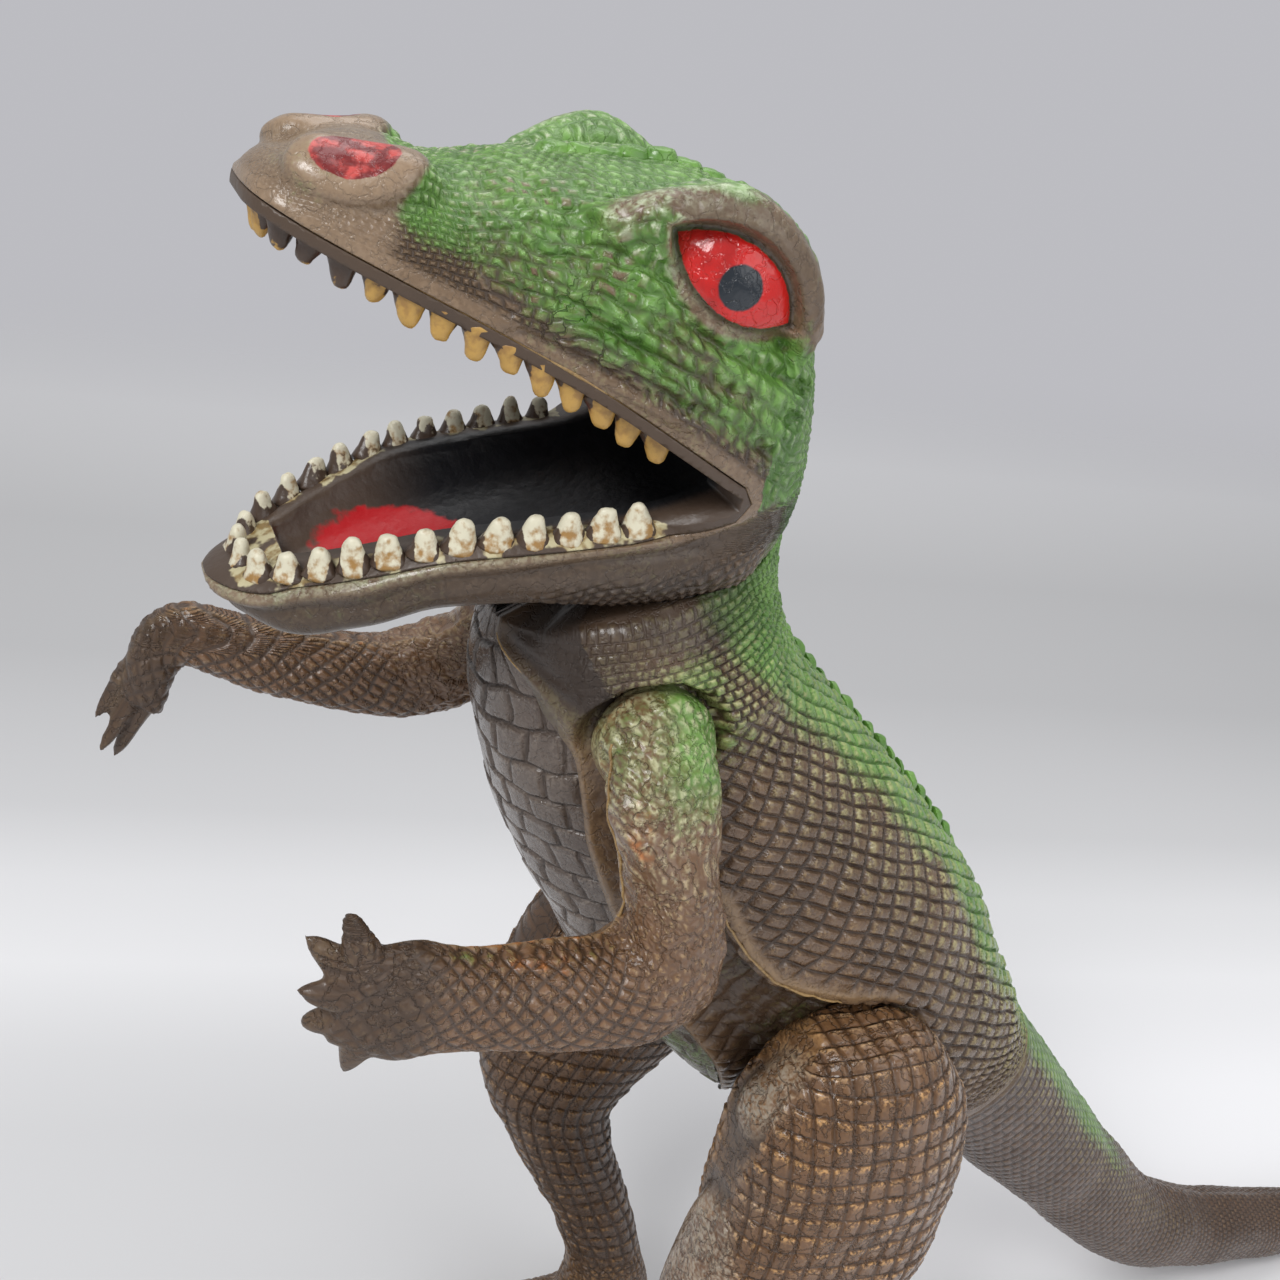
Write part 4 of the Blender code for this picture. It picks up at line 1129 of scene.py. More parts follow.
@dataclass
class Torso:
    """Two side skins with a raised rim over a set-in belly panel."""

    table: Sequence[Section] = (
        (0.60, 2.36, 0.085, 2.56, 0, 0.25), (0.61, 2.25, 0.06, 2.43, 0, 0.265),
        (0.595, 2.12, -0.03, 2.27, 0, 0.30), (0.555, 1.98, -0.19, 2.11, 0, 0.33),
        (0.49, 1.84, -0.36, 1.95, 0, 0.355), (0.41, 1.69, -0.53, 1.77, 0, 0.37),
        (0.31, 1.54, -0.66, 1.58, 0, 0.37), (0.17, 1.38, -0.77, 1.40, 0, 0.355),
        (0.01, 1.22, -0.83, 1.31, 0, 0.325), (-0.28, 1.08, -0.87, 1.26, 0, 0.27),
        (-0.57, 0.99, -0.88, 1.24, 0, 0.21))
    seam: Line = ((0.68, 2.35), (0.50, 2.27), (0.44, 2.00), (0.30, 1.70), (0.08, 1.42),
            (-0.05, 1.15), (-0.12, 0.90))
    rim_height: float = 1.0
    belly_inset: float = 1.3
    lip: Line = ((20, 190), (13, 178), (6.0, 171), (-1.0, 168), (-13, 164),
            (-33, 159), (-52, 154))
    groin_depth: float = 5.0
    side_cells: int = 22
    belly_cells: int = 7
    count: int = 300
    side_columns: int = 150
    belly_columns: int = 90

    def __post_init__(self) -> None:
        """Smooth the sections and find where the seam crosses them."""
        self.spine = Spine(self.table, self.count, squareness=2.2)
        self.seam_angle = self._seam_angles()

    def _seam_angles(self) -> np.ndarray:
        """Angle of the belly seam on each section."""
        shares = np.linspace(0, 1, 160)
        corners = [(forward * 100, up * 100) for forward, up in self.seam]
        found = []
        for index in range(self.count):
            front = self.spine.centre[index] + self.spine.along[index] * self.spine.reach[index]
            back = self.spine.centre[index] - self.spine.along[index] * self.spine.reach[index]
            places = local(front + (back - front) * shares[:, None])
            side = side_of(places, corners)
            behind = np.nonzero(side * side[0] < 0)[0]
            cosine = 1 - 2 * shares[behind[0]] if len(behind) and abs(side[0]) > 0.2 else np.nan
            found.append(cosine)
        values = np.array(found)
        known = ~np.isnan(values)
        values = np.interp(np.arange(self.count), np.nonzero(known)[0], values[known])
        values = np.convolve(np.pad(values, 6, mode="edge"), np.ones(13) / 13, mode="valid")
        values = np.clip(values, -0.6, 0.96)
        return np.arccos(np.sign(values) * np.abs(values) ** (self.spine.squareness / 2))

    def _angles(self, low: np.ndarray, high: np.ndarray, columns: int) -> np.ndarray:
        """Angles that are evenly spaced along each section between two bounds."""
        shares = np.linspace(0, 1, 80)
        result = np.empty((self.count, columns))
        for index in range(self.count):
            angle = low[index] + (high[index] - low[index]) * shares
            places = self.spine.surface(np.full(80, float(index)), angle)
            run = run_of(places)
            result[index] = np.interp(np.linspace(0, run[-1], columns), run, angle)
        return result

    def _sheet(self, name: str, low: np.ndarray, high: np.ndarray, columns: int) -> Tuple[Piece,
            np.ndarray, np.ndarray]:
        """A wedge-shaped body with its outer sheet between two angles of each section."""
        angle = self._angles(low, high, columns)
        index = np.repeat(np.arange(self.count, dtype=float)[:, None], columns, axis=1)
        sheet = self.spine.surface(index.ravel(), angle.ravel())
        shift = np.sign(sheet[:, 0].mean() - ORIGIN.x) * 0.0002 if abs(sheet[:,
                0].mean() - ORIGIN.x) > 0.003 else 0.0
        axis = self.spine.centre + np.array([shift, 0, 0])
        faces: Faces = []
        for row in range(self.count - 1):
            base = row * columns
            for step in range(columns - 1):
                faces.append((base + step, base + step + 1, base + columns + step + 1, base + columns + step))
        inner = self.count * columns
        for row in range(self.count - 1):
            faces.append((inner + row, row * columns, (row + 1) * columns, inner + row + 1))
            last = columns - 1
            faces.append((inner + row + 1, (row + 1) * columns + last, row * columns + last, inner + row))
        for row, spot in ((0, inner), (self.count - 1, inner + self.count - 1)):
            for step in range(columns - 1):
                pair = (row * columns + step, row * columns + step + 1)
                faces.append((*(pair if row else reversed(pair)), spot))
        obj = Soup(np.vstack([sheet, axis]), faces).build(name)
        return obj, index.ravel(), angle.ravel()

    def _mark(self, obj: Piece, values: Dict[str, np.ndarray]) -> None:
        """Store values of the outer sheet, with only shade on the axis, so that the inner faces in the joints get
        painted shade.
        """
        for name, column in values.items():
            inner = np.full(len(obj.data.vertices) - len(column), 0.85 if name == "shade" else 0.0)
            note(obj, **{name: np.concatenate([column, inner])})

    def side_skin(self, side: int, material: Finish) -> Piece:
        """One side skin, from the belly seam to the middle of the back."""
        word = "left" if side > 0 else "right"
        low, high = (self.seam_angle, np.full(self.count, math.pi))
        if side < 0:
            low, high = -high, -low
        obj, index, angle = self._sheet(f"torso_{word}_skin", low, high, self.side_columns)
        sheet = len(index)
        girth = self.spine.row(index, self.spine.girth) / MM
        places = local(points_of(obj)[:sheet])
        forward, up, _ = places.T
        from_seam = (np.abs(angle) - np.repeat(self.seam_angle, self.side_columns)) / (2 * math.pi) * girth
        to_end = (self.count - 1 - index) * self.spine.length[-1] / self.count / MM
        amount = self.rim_height * bump(from_seam, 2.2) * ease(places[:, 1], 158, 176)
        below = side_of(places, self.lip)
        groin = ease(below, 0.0, 1.8) * ease(places[:, 0], -38, -24) * ease(from_seam, 0.0, 9.0)
        amount -= self.groin_depth * groin * fall(places[:, 1], 178, 188)
        fades = ease(places[:, 0], -32, -14)
        amount += 0.9 * bump(below + 1.6, 1.5) * fades
        wrinkles = np.sin(places[:, 0] * 0.9 + up * 0.7 + 2 * waves(points_of(obj)[:sheet], 0.012, 5))
        amount += 0.35 * wrinkles * groin
        amount += 0.8 * bump(to_end - 1.5, 1.8)
        reach = np.hypot(places[:, 0] - SHOULDER[0], up - SHOULDER[1])
        mound = fall(reach, 14.5, 33) * ease(reach, 11.4, 12.8) * ease(places[:, 1], 216, 230)
        amount += 6.0 * mound * fall(places[:, 0], 46, 58)
        amount += 0.35 * waves(points_of(obj)[:sheet], 0.030, 3)
        push(obj, np.concatenate([amount, np.zeros(self.count)]))
        columns = np.abs(angle) / math.pi * self.side_cells
        rows = self.spine.cells(index, self.side_cells * 2, 1.0)
        strip = fall(from_seam, 8.0, 11) * ease(places[:, 1], 176, 184) * fall(places[:, 1], 240, 246)
        smooth = np.maximum.reduce([bump(from_seam, 2.2), bump(below + 1.6, 1.8) * fades, groin * 0.7, strip])
        trim = np.clip(1 - smooth, 0, 1) * ease(to_end, 3.0, 6.0) * ease(math.pi - np.abs(angle), 0.0, 0.05)
        trim *= 1 - 0.55 * ease(places[:, 0], 26, 36) * ease(places[:, 1], 226, 234)
        self._mark(obj, {
            "rows": rows, "columns": columns, "trim": trim,
            "second": np.maximum(ease(-side_of(places, SPRAY_EDGE), 3.0, 14),
                ease(places[:, 1] + 0.4 * forward, 228, 240)),
            "spray": body_spray(places) + 0.25 * groin,
            # Pale paint with painted highlights along the spray's edge, and painted highlights above the shoulder.
            "pale": np.maximum(0.75 * bump(side_of(places, SPRAY_EDGE) - 1.0, 11),
                1.1 * bump(reach - 13, 8.0) * bump(places[:, 1] - 232, 9.0)),
            "bare": 0.40 * bump(below + 1.6, 1.2) * fades + 0.25 * bump(from_seam, 1.6),
            # Painted shade in the groin, at the tail joint, and on the throat and collar under the head.
            "shade": 0.55 * groin + 0.8 * fall(to_end, 0.4, 1.2) + 0.70 * np.maximum(
                ease(places[:, 1] + 0.5 * forward, 242, 254) * ease(places[:, 0], 34, 47),
                ease(places[:, 1], 236, 243) * ease(places[:, 0], 14, 30)),
            "scuff": 0.25 * bump(from_seam - 0.4, 0.8)})
        FLANK_SCALES.apply(obj, material)
        return obj

    def belly(self, material: Finish) -> Piece:
        """The belly panel, set in behind the rims of the side skins."""
        obj, index, angle = self._sheet("belly_panel", -self.seam_angle, self.seam_angle, self.belly_columns)
        sheet = len(index)
        share = angle / np.repeat(self.seam_angle, self.belly_columns)
        places = local(points_of(obj)[:sheet])
        amount = -self.belly_inset * np.ones(sheet) + 0.4 * waves(points_of(obj)[:sheet], 0.028, 8)
        push(obj, np.concatenate([amount, np.zeros(self.count)]))
        rows = self.spine.row(index, self.spine.length) / 0.0078 + 0.35 * np.abs(share)
        self._mark(obj, {
            "rows": rows, "columns": (share + 1) / 2 * self.belly_cells, "trim": np.clip(1.2 - np.abs(share), 0, 1) ** 0.3,
            "spray": 0.30 * fall(places[:, 1], 140, 175),
            "bare": 0.12 + 0.1 * waves(places * MM, 0.02, 4)})
        BELLY_SCUTES.apply(obj, material)
        return obj

    def seam_paths(self) -> List[List[Vector]]:
        """Where the flash stands, along the rim of each side skin."""
        paths = []
        for side in (-1, 1):
            index = np.arange(4, int(self.count * 0.62), dtype=float)
            angle = self.seam_angle[index.astype(int)] * side
            places = self.spine.surface(index, angle)
            middle = self.spine.row(index, self.spine.centre)
            out = places - middle
            places = places + out / np.linalg.norm(out, axis=1)[:, None] * (self.rim_height * 0.75 * MM)
            places = places[local(places)[:, 1] > 222]
            paths.append([Vector(place) for place in places[::2]])
        return paths


@dataclass
class Tail:
    """The tail, with fine rows of scales along it."""

    table: Sequence[Section] = (
        (-0.88, 1.24, -0.57, 0.99, 0, 0.21), (-1.01, 1.09, -0.74, 0.85, 0, 0.185),
        (-1.16, 0.92, -0.92, 0.69, 0, 0.165), (-1.32, 0.74, -1.11, 0.53, 0, 0.145),
        (-1.48, 0.57, -1.31, 0.35, 0, 0.13), (-1.64, 0.42, -1.54, 0.18, 0, 0.12),
        (-1.84, 0.315, -1.80, 0.09, 0, 0.11), (-2.06, 0.255, -2.05, 0.045, 0, 0.10),
        (-2.33, 0.195, -2.32, 0.01, 0, 0.085), (-2.60, 0.155, -2.60, 0.00, 0, 0.068),
        (-2.82, 0.125, -2.82, 0.02, 0, 0.045), (-2.98, 0.115, -2.98, 0.085, 0, 0.015))
    cells: int = 42
    count: int = 440
    segments: int = 150

    def build(self, material: Finish) -> Piece:
        """The tail's skin."""
        self.spine = Spine(self.table, self.count)
        obj = self.spine.mesh(self.segments).build("tail_skin")
        index = np.repeat(np.arange(self.count, dtype=float), self.segments)
        angle = np.tile(np.arange(self.segments) * 2 * math.pi / self.segments, self.count)
        angle = np.where(angle > math.pi, angle - 2 * math.pi, angle)
        points = points_of(obj)
        start = index * self.spine.length[-1] / self.count / MM
        amount = -0.5 * fall(start, 1.0, 3.0) + 0.25 * waves(points, 0.02, 6) * ease(start, 2.0, 8.0)
        girth = self.spine.row(index, self.spine.girth) / MM
        top = np.abs(angle) / (2 * math.pi) * girth
        amount += 0.8 * bump(top, 1.6) * ease(start, 1.0, 6.0) * fall(start, 200, 270)
        push(obj, amount)
        places = local(points_of(obj))
        lit = fall(np.abs(angle), 0.35, 1.25) * ease(places[:, 0], -170, -110)
        note(obj, **{
            "rows": self.spine.cells(index, self.cells, 1.15), "columns": angle / (2 * math.pi) * self.cells,
            "trim": ease(start, 1.5, 4.0) * fall(start, 270, 285),
            "spray": lit, "shade": np.full(len(points), 0.22), "pale": 0.8 * bump(np.abs(angle) - 0.85,
                    0.40) * ease(places[:, 0], -200, -100),
            "bare": 0.25 * bump(start - 1.0, 1.5)})
        TAIL_SCALES.apply(obj, material)
        return obj


Digit = Tuple[Tuple[float, float], Tuple[float, float], float]


@dataclass
class Arm:
    """An arm with its hand, held at the shoulder plane."""

    side: int
    table: Sequence[Section]
    digits: Sequence[Digit]
    across: float = 0.505
    spread: float = 0.03
    plane: float = 0.262
    cell: float = 0.0019
    voxel: float = 0.00048
    strip: float = -0.35
    dome: Line = ((1.0, 0.25), (1.0, 0.315), (0.95, 0.328), (0.82, 0.342), (0.62, 0.354),
            (0.35, 0.362), (0.05, 0.366))

    def _shoulder(self) -> Soup:
        """A low dome that fills the torso's shoulder hollow."""
        turns = [turn * math.pi / 20 for turn in range(40)]
        radius = 0.108
        places = [at(SHOULDER[0] / 100 + radius * share * math.cos(turn),
                SHOULDER[1] / 100 + radius * share * math.sin(turn), self.side * across)
                  for share, across in self.dome for turn in turns]
        return Soup(np.array(places), tube(len(self.dome), len(turns)))

    def build(self, material: Finish) -> Piece:
        """The arm's skin."""
        word = "left" if self.side > 0 else "right"
        spine = Spine(self.table, 160, self.side)
        soup = spine.mesh(48)
        for number, (root, tip, radius) in enumerate(self.digits):
            spread = self.spread * (number % 2)
            start = at(*root, self.side * self.across)
            end = at(*tip, self.side * (self.across - spread))
            soup = soup.plus(tapered(start, end, radius * HEAD * 1.05, 0.22, flat=0.85))
        soup = soup.plus(self._shoulder())
        obj = fused(soup.build(f"{word}_arm_skin"), self.voxel, 5)
        cut(obj, block(at(0, 2.2, self.side * self.plane), Vector((self.side, 0, 0))), "INTERSECT")
        points = points_of(obj)
        index, angle = spine.locate(points)
        outer = angle * self.side
        places = local(points)
        _, up, _ = places.T
        length = spine.length[-1] / MM
        run = np.clip(index, 0, spine.count) / spine.count * length
        girth = spine.row(index, spine.girth) / MM
        from_strip = np.abs(outer - self.strip) / (2 * math.pi) * girth
        hand = ease(run, length * 0.80, length * 0.90)
        upper = fall(run, 40, 56)
        amount = 0.40 * waves(points, 0.010, 11) * upper * ease(places[:, 2], 29, 33)
        amount += 0.28 * waves(points, 0.0045, 12) * upper * ease(places[:, 2], 29, 33)
        amount += 0.30 * waves(points, 0.014, 13)
        amount += 0.5 * bump(from_strip, 0.9) * (1 - hand)
        push(obj, amount)
        left = float(self.side > 0)
        smooth = left * np.maximum(ease(-outer, -self.strip - 0.10, -self.strip + 0.10),
                ease(np.abs(outer), 2.2, 2.7) * (1 - upper))
        trim = np.clip(1 - smooth, 0, 1) * ease(places[:, 2], 28, 32) * (1 - 0.35 * hand) * (1 - 0.62 * upper)
        behind = fall(places[:, 0], 30, 42)
        green = 0.85 * ease(places[:, 1], 204, 226) * upper * (0.45 + 0.55 * behind)
        flat = ease(places[:, 1], 204, 213)
        rows = spine.row(index, spine.length) * (1 - flat) + (238 - up) * MM * flat
        columns = spine.columns(points, index, 12, self.cell) * (1 - flat) + (places[:,
                0] - 36) * MM / self.cell * flat
        green += 0.26 * bump(outer - 0.1, 0.45) * (1 - upper) * (1 - hand)
        # Shade lays painted shade on the inner side that faces the body and darkens the hand; pale lays pale paint and
        # painted highlights high on the upper arm, more on the left arm.
        marks = {"rows": rows / self.cell, "columns": columns, "trim": trim,
                 "shade": 0.70 * hand + 0.30 * fall(places[:, 2], 32, 40) * (1 - flat),
                 "second": 1 - upper, "spray": green * (0.35 + 0.65 * left),
                 "pale": 0.85 * ease(places[:, 1], 196, 220) * upper * (0.4 + 0.6 * left),
                 "bare": 0.06 * hand + 0.45 * bump(from_strip, 0.8) + 0.15 * smooth,
                 "scuff": 0.50 * np.maximum(bump(near(places, ((44, 218, 44), (43, 211, 46))), 4.5),
                bump(near(places, ((50, 195, 50), (66, 197, 50))), 5.0) * (self.side > 0))
                 + 0.45 * bump(from_strip, 0.5) * (1 - hand)}
        note(obj, **marks)
        ARM_SCALES.apply(obj, material)
        return obj


@dataclass
class Leg:
    """A leg with its foot, flat on the floor."""

    side: int
    table: Sequence[Section]
    ankle: Tuple[float, float]
    foot: Sequence[Triple] = ((-0.15, 0.08, 0.06), (-0.11, 0.14, 0.10), (0.00, 0.16, 0.115),
            (0.12, 0.115, 0.13), (0.24, 0.085, 0.142), (0.36, 0.065, 0.145))
    toes: Sequence[Tuple[float, float, float, float, float]] = ((0.30, -0.105, 0.52, -0.17, 0.045),
            (0.31, 0.00, 0.58, 0, 0.047),
            (0.30, 0.105, 0.52, 0.17, 0.045))
    cell: float = 0.0043
    voxel: float = 0.00062
    seam: Stroke = ((-3, 160, 36), (4, 150, 40), (9, 139, 42), (11, 128, 40), (10, 117, 36), (8, 104, 34),
            (9, 90, 33), (8, 76, 32))

    def _foot(self) -> Soup:
        """Foot and toes, a little under the floor so that it can cut them flat."""
        forward, across = self.ankle
        rows = [(forward + along, height, forward + along, -0.03, across, half)
                for along, height, half in self.foot]
        soup = Spine(rows, 60, self.side, 2.6).mesh(40)
        for root_forward, root_across, tip_forward, tip_across, radius in self.toes:
            root = at(forward + root_forward - 0.06, radius * 0.9, self.side * (across + root_across))
            tip = at(forward + tip_forward, 0.3 * radius, self.side * (across + tip_across))
            soup = soup.plus(tapered(root, tip, radius * HEAD, 0.35))
        return soup

    def build(self, material: Finish) -> Piece:
        """The leg's skin."""
        word = "left" if self.side > 0 else "right"
        spine = Spine(self.table, 220, self.side)
        obj = fused(spine.mesh(64).plus(self._foot()).build(f"{word}_leg_skin"), self.voxel, 6)
        cut(obj, block(Vector((0, 0, 0)), Vector((0, 0, 1))), "INTERSECT")
        points = points_of(obj)
        index, angle = spine.locate(points)
        places = local(points)
        _, _, aside = places.T
        outer = angle * self.side
        left = float(self.side > 0)
        from_line = side_of(places, [(row[0], row[1]) for row in self.seam])
        across = np.interp(places[:, 1], [row[1] for row in self.seam[::-1]],
                [row[2] for row in self.seam[::-1]])
        from_seam = np.where(np.abs(places[:, 2] - across) < 7.0, np.abs(from_line), 60) + 60 * (1 - left)
        before = left * ease(from_line, -1.0, 1.5)
        before *= fall(np.abs(outer), 1.5, 1.9) * ease(places[:, 1], 62, 84)
        sole = ease(places[:, 1], 0.8, 3.0)
        top = fall(places[:, 1], 146, 158)
        amount = 0.45 * waves(points, 0.026, 21) * sole - 0.9 * bump(from_seam,
                0.8) + 0.3 * bump(from_seam - 2.0, 1.2)
        push(obj, amount)
        low = fall(places[:, 1], 26, 40)
        trim = (1 - 0.88 * before) * sole * (1 - bump(from_seam, 1.3)) * (1 - 0.6 * low)
        inward = np.maximum(52 - aside, 0.0) * ease(places[:, 1], 154, 159) * MM
        marks = {"rows": (spine.row(index, spine.length) - inward) / self.cell,
                 "columns": spine.columns(points, index, 70, self.cell),
                 "trim": trim, "second": np.maximum(before, low),
                 "spray": 0.12 * before * top + 0.10 * bump(outer, 0.5) * ease(places[:, 1], 90, 150),
                 "pale": 0.45 * ease(waves(points, 0.030, 22), 0.0, 1.0) * ease(places[:, 1], 60,
                 120) + 1.5 * before,
                 # Painted shadow over the right leg, more on its lower part, and painted shade in the seam's groove
                 # down the left leg.
                 "shade": (0.38 + 0.15 * fall(places[:, 1], 90, 110)) * (1 - left) + 0.75 * bump(from_seam,
                 0.8) * fall(places[:, 1], 149, 153),
                 "bare": 0.30 * bump(from_seam - 1.8, 1.0) + 0.10 * low}
        note(obj, **marks)
        LEG_SCALES.apply(obj, material)
        return obj


@dataclass
class Jaws:
    """Side outline and hollow of the open mouth, shared by the head and its liner."""

    upper: Line = ((0.30, 2.685), (0.42, 2.755), (0.55, 2.825), (0.71, 2.895),
            (0.86, 2.955), (0.97, 3.00), (1.07, 3.045), (1.25, 3.12))
    lower: Line = ((0.30, 2.665), (0.42, 2.625), (0.57, 2.60), (0.74, 2.57),
            (0.86, 2.525), (0.96, 2.485), (1.04, 2.455), (1.25, 2.44))
    hollow: Sequence[Tuple[float, float, float, float]] = (
        (0.20, 2.645, 2.745, 0.09), (0.27, 2.605, 2.78, 0.165), (0.36, 2.58, 2.82, 0.205), (0.55, 2.52,
                2.89, 0.205),
        (0.74, 2.475, 2.955, 0.185), (0.88, 2.44, 3.00, 0.14), (0.97, 2.42, 3.02, 0.085))
    upper_gum: Line = ((1.025, 0.00), (1.01, 0.06), (0.965, 0.11), (0.87, 0.165), (0.74, 0.21),
            (0.58, 0.25), (0.42, 0.275))
    lower_gum: Line = ((1.035, 0.00), (1.015, 0.07), (0.95, 0.135), (0.85, 0.185),
            (0.72, 0.225), (0.57, 0.25), (0.42, 0.265))

    @staticmethod
    def smooth(line: Line, count: int = 60) -> np.ndarray:
        """Places along a smooth curve through a line's corners."""
        dense = smoothed(np.array(line, dtype=float), 16)
        run = run_of(dense)
        return spaced(dense, run, np.linspace(0, run[-1], count))

    def lip(self, upper: bool) -> List[Tuple[float, float]]:
        """One lip line in millimetres, from the corner outwards."""
        return [tuple(row * 100) for row in self.smooth(self.upper if upper else self.lower, 40)]

    def space(self, offset: float) -> Piece:
        """The open mouth between the lips with its hollow, grown by metres."""
        grown = offset / HEAD
        upper = self.smooth(self.upper) + np.array([0, grown])
        lower = self.smooth(self.lower) - np.array([0, grown])
        corner = (upper[0] + lower[0]) / 2 - np.array([grown, 0])
        outline = np.vstack([corner[None], lower, upper[::-1]])
        count = len(outline)
        rings = [at(forward, up, across) for across in (-0.6, 0.6) for forward, up in outline]
        faces: Faces = [tuple(range(count)), tuple(range(count, 2 * count))]
        for step in range(count):
            following = (step + 1) % count
            faces.append((step, following, count + following, count + step))
        space = Soup(np.array(rings), faces).build("mouth_space")
        rows = np.array([(forward, high + grown, forward, low - grown, 0.0, half + grown)
                for forward, low, high, half in self.hollow])
        rows[0, [0, 2]] -= grown
        rows[-1, [0, 2]] += grown
        return cut(space, Spine(rows, 60, squareness=2.6).mesh(64).build("hollow"), "UNION")

    def gum(self, upper: bool, count: int) -> List[Tuple[Vector, Vector]]:
        """Places of teeth along one side of a gum line, with the line's direction at each."""
        line = self.smooth(self.upper_gum if upper else self.lower_gum, 200)
        lip = self.smooth(self.upper if upper else self.lower, 200)
        heights = np.interp(line[:, 0], lip[:, 0], lip[:, 1])
        places = np.array([at(forward, up, across) for (forward, across), up in zip(line, heights)])
        run = np.concatenate([[0], np.cumsum(np.linalg.norm(np.diff(places, axis=0), axis=1))])
        result = []
        for step in range(count):
            wanted = run[-1] * (step + 0.5) / count
            spot, ahead = (np.array([np.interp(wanted + more, run, places[:, axis]) for axis in range(3)])
                    for more in (0.0, 0.001))
            result.append((Vector(spot), Vector(ahead - spot).normalized()))
        return result


@dataclass
class Head:
    """Skull, snout and lower jaw in one skin, with modelled folds, lips, brows and nostrils."""

    jaws: Jaws
    skull: Sequence[Section] = (
        (0.13, 2.75, 0.095, 2.55, 0, 0.10), (0.13, 2.92, 0.15, 2.47, 0, 0.22),
        (0.20, 3.05, 0.28, 2.40, 0, 0.30), (0.33, 3.14, 0.38, 2.46, 0, 0.335),
        (0.48, 3.15, 0.48, 2.60, 0, 0.325), (0.61, 3.14, 0.60, 2.70, 0, 0.28),
        (0.76, 3.12, 0.74, 2.79, 0, 0.235), (0.90, 3.11, 0.87, 2.86, 0, 0.195),
        (1.00, 3.115, 0.975, 2.93, 0, 0.155), (1.045, 3.09, 1.035, 2.97, 0, 0.115),
        (1.06, 3.06, 1.055, 3.00, 0, 0.07))
    bridge: Sequence[Section] = (
        (1.01, 3.10, 1.00, 3.00, 0, 0.07), (0.96, 3.13, 0.95, 3.00, 0, 0.12),
        (0.88, 3.138, 0.87, 3.00, 0, 0.135), (0.80, 3.125, 0.79, 3.02, 0, 0.12),
        (0.74, 3.11, 0.73, 3.03, 0, 0.08))
    jaw: Sequence[Section] = (
        (0.14, 2.66, 0.18, 2.47, 0, 0.19), (0.24, 2.69, 0.27, 2.42, 0, 0.285),
        (0.40, 2.68, 0.40, 2.40, 0, 0.31), (0.57, 2.65, 0.58, 2.41, 0, 0.295),
        (0.74, 2.61, 0.74, 2.395, 0, 0.265), (0.88, 2.54, 0.87, 2.345, 0, 0.225),
        (0.99, 2.48, 0.97, 2.33, 0, 0.165), (1.06, 2.45, 1.05, 2.36, 0, 0.095),
        (1.09, 2.43, 1.08, 2.40, 0, 0.04))
    brow: Sequence[Section] = (
        (0.59, 3.11, 0.59, 3.04, 0.22, 0.04), (0.48, 3.15, 0.48, 3.04, 0.255, 0.065),
        (0.37, 3.165, 0.38, 3.02, 0.275, 0.078), (0.26, 3.09, 0.28, 2.95, 0.28, 0.072),
        (0.21, 2.98, 0.25, 2.88, 0.275, 0.05))
    nostril: Sequence[Section] = (
        (1.01, 3.11, 1.00, 3.05, 0.085, 0.04), (0.965, 3.145, 0.955, 3.04, 0.105, 0.053),
        (0.90, 3.155, 0.89, 3.04, 0.12, 0.057), (0.84, 3.145, 0.83, 3.05, 0.13, 0.048),
        (0.79, 3.12, 0.79, 3.06, 0.135, 0.032))
    neck: Tuple[Tuple[float, float], Tuple[float, float]] = ((0.60, 2.36), (0.085, 2.56))
    cells: int = 92
    voxel: float = 0.00058
    wall: float = 0.0023
    brow_ridge: Stroke = ((55, 311, 26), (50, 314, 28), (45, 316, 30), (39, 316, 32), (33, 313, 34),
            (27, 306, 34),
            (23, 297, 32))
    folds: Sequence[Stroke] = (((50, 304, 29), (42, 295, 32), (31, 290, 32), (21, 286, 27)),
            ((63, 298, 27), (51, 292, 31), (38, 287, 33), (23, 281, 29)),
            ((68, 292, 25), (56, 288, 29), (42, 284, 33), (28, 277, 31)))
    nostril_spot: Triple = (91.5, 313.4, 13.6)

    def form(self) -> Soup:
        """All the overlapping forms of the head."""
        soup = Spine(self.skull, 150).mesh(96).plus(Spine(self.jaw, 140).mesh(90)).plus(Spine(self.bridge,
                60).mesh(40))
        for side in (-1, 1):
            soup = soup.plus(Spine(self.brow, 60, side).mesh(28)).plus(Spine(self.nostril, 50, side).mesh(24))
        return soup

    def neck_block(self) -> Piece:
        """The block above the neck's plane."""
        front, back = at(*self.neck[0]), at(*self.neck[1])
        line = front - back
        return block((front + back) / 2, Vector((0, line.z, -line.y)))

    def build(self, eye: EyePaint, material: Finish) -> Piece:
        """The head's skin."""
        obj = fused(self.form().build("head_skin"), self.voxel, 14)
        cut(obj, self.neck_block(), "INTERSECT")
        cut(obj, self.jaws.space(self.wall), "DIFFERENCE")
        self._model(obj, eye)
        self._mark(obj, eye)
        HEAD_SCALES.apply(obj, material)
        return obj

    def _eye_depth(self, points: np.ndarray, eye: EyePaint) -> np.ndarray:
        """How far places lie inside either eye, in millimetres."""
        return np.maximum(eye.inside(points, 1), eye.inside(points, -1))

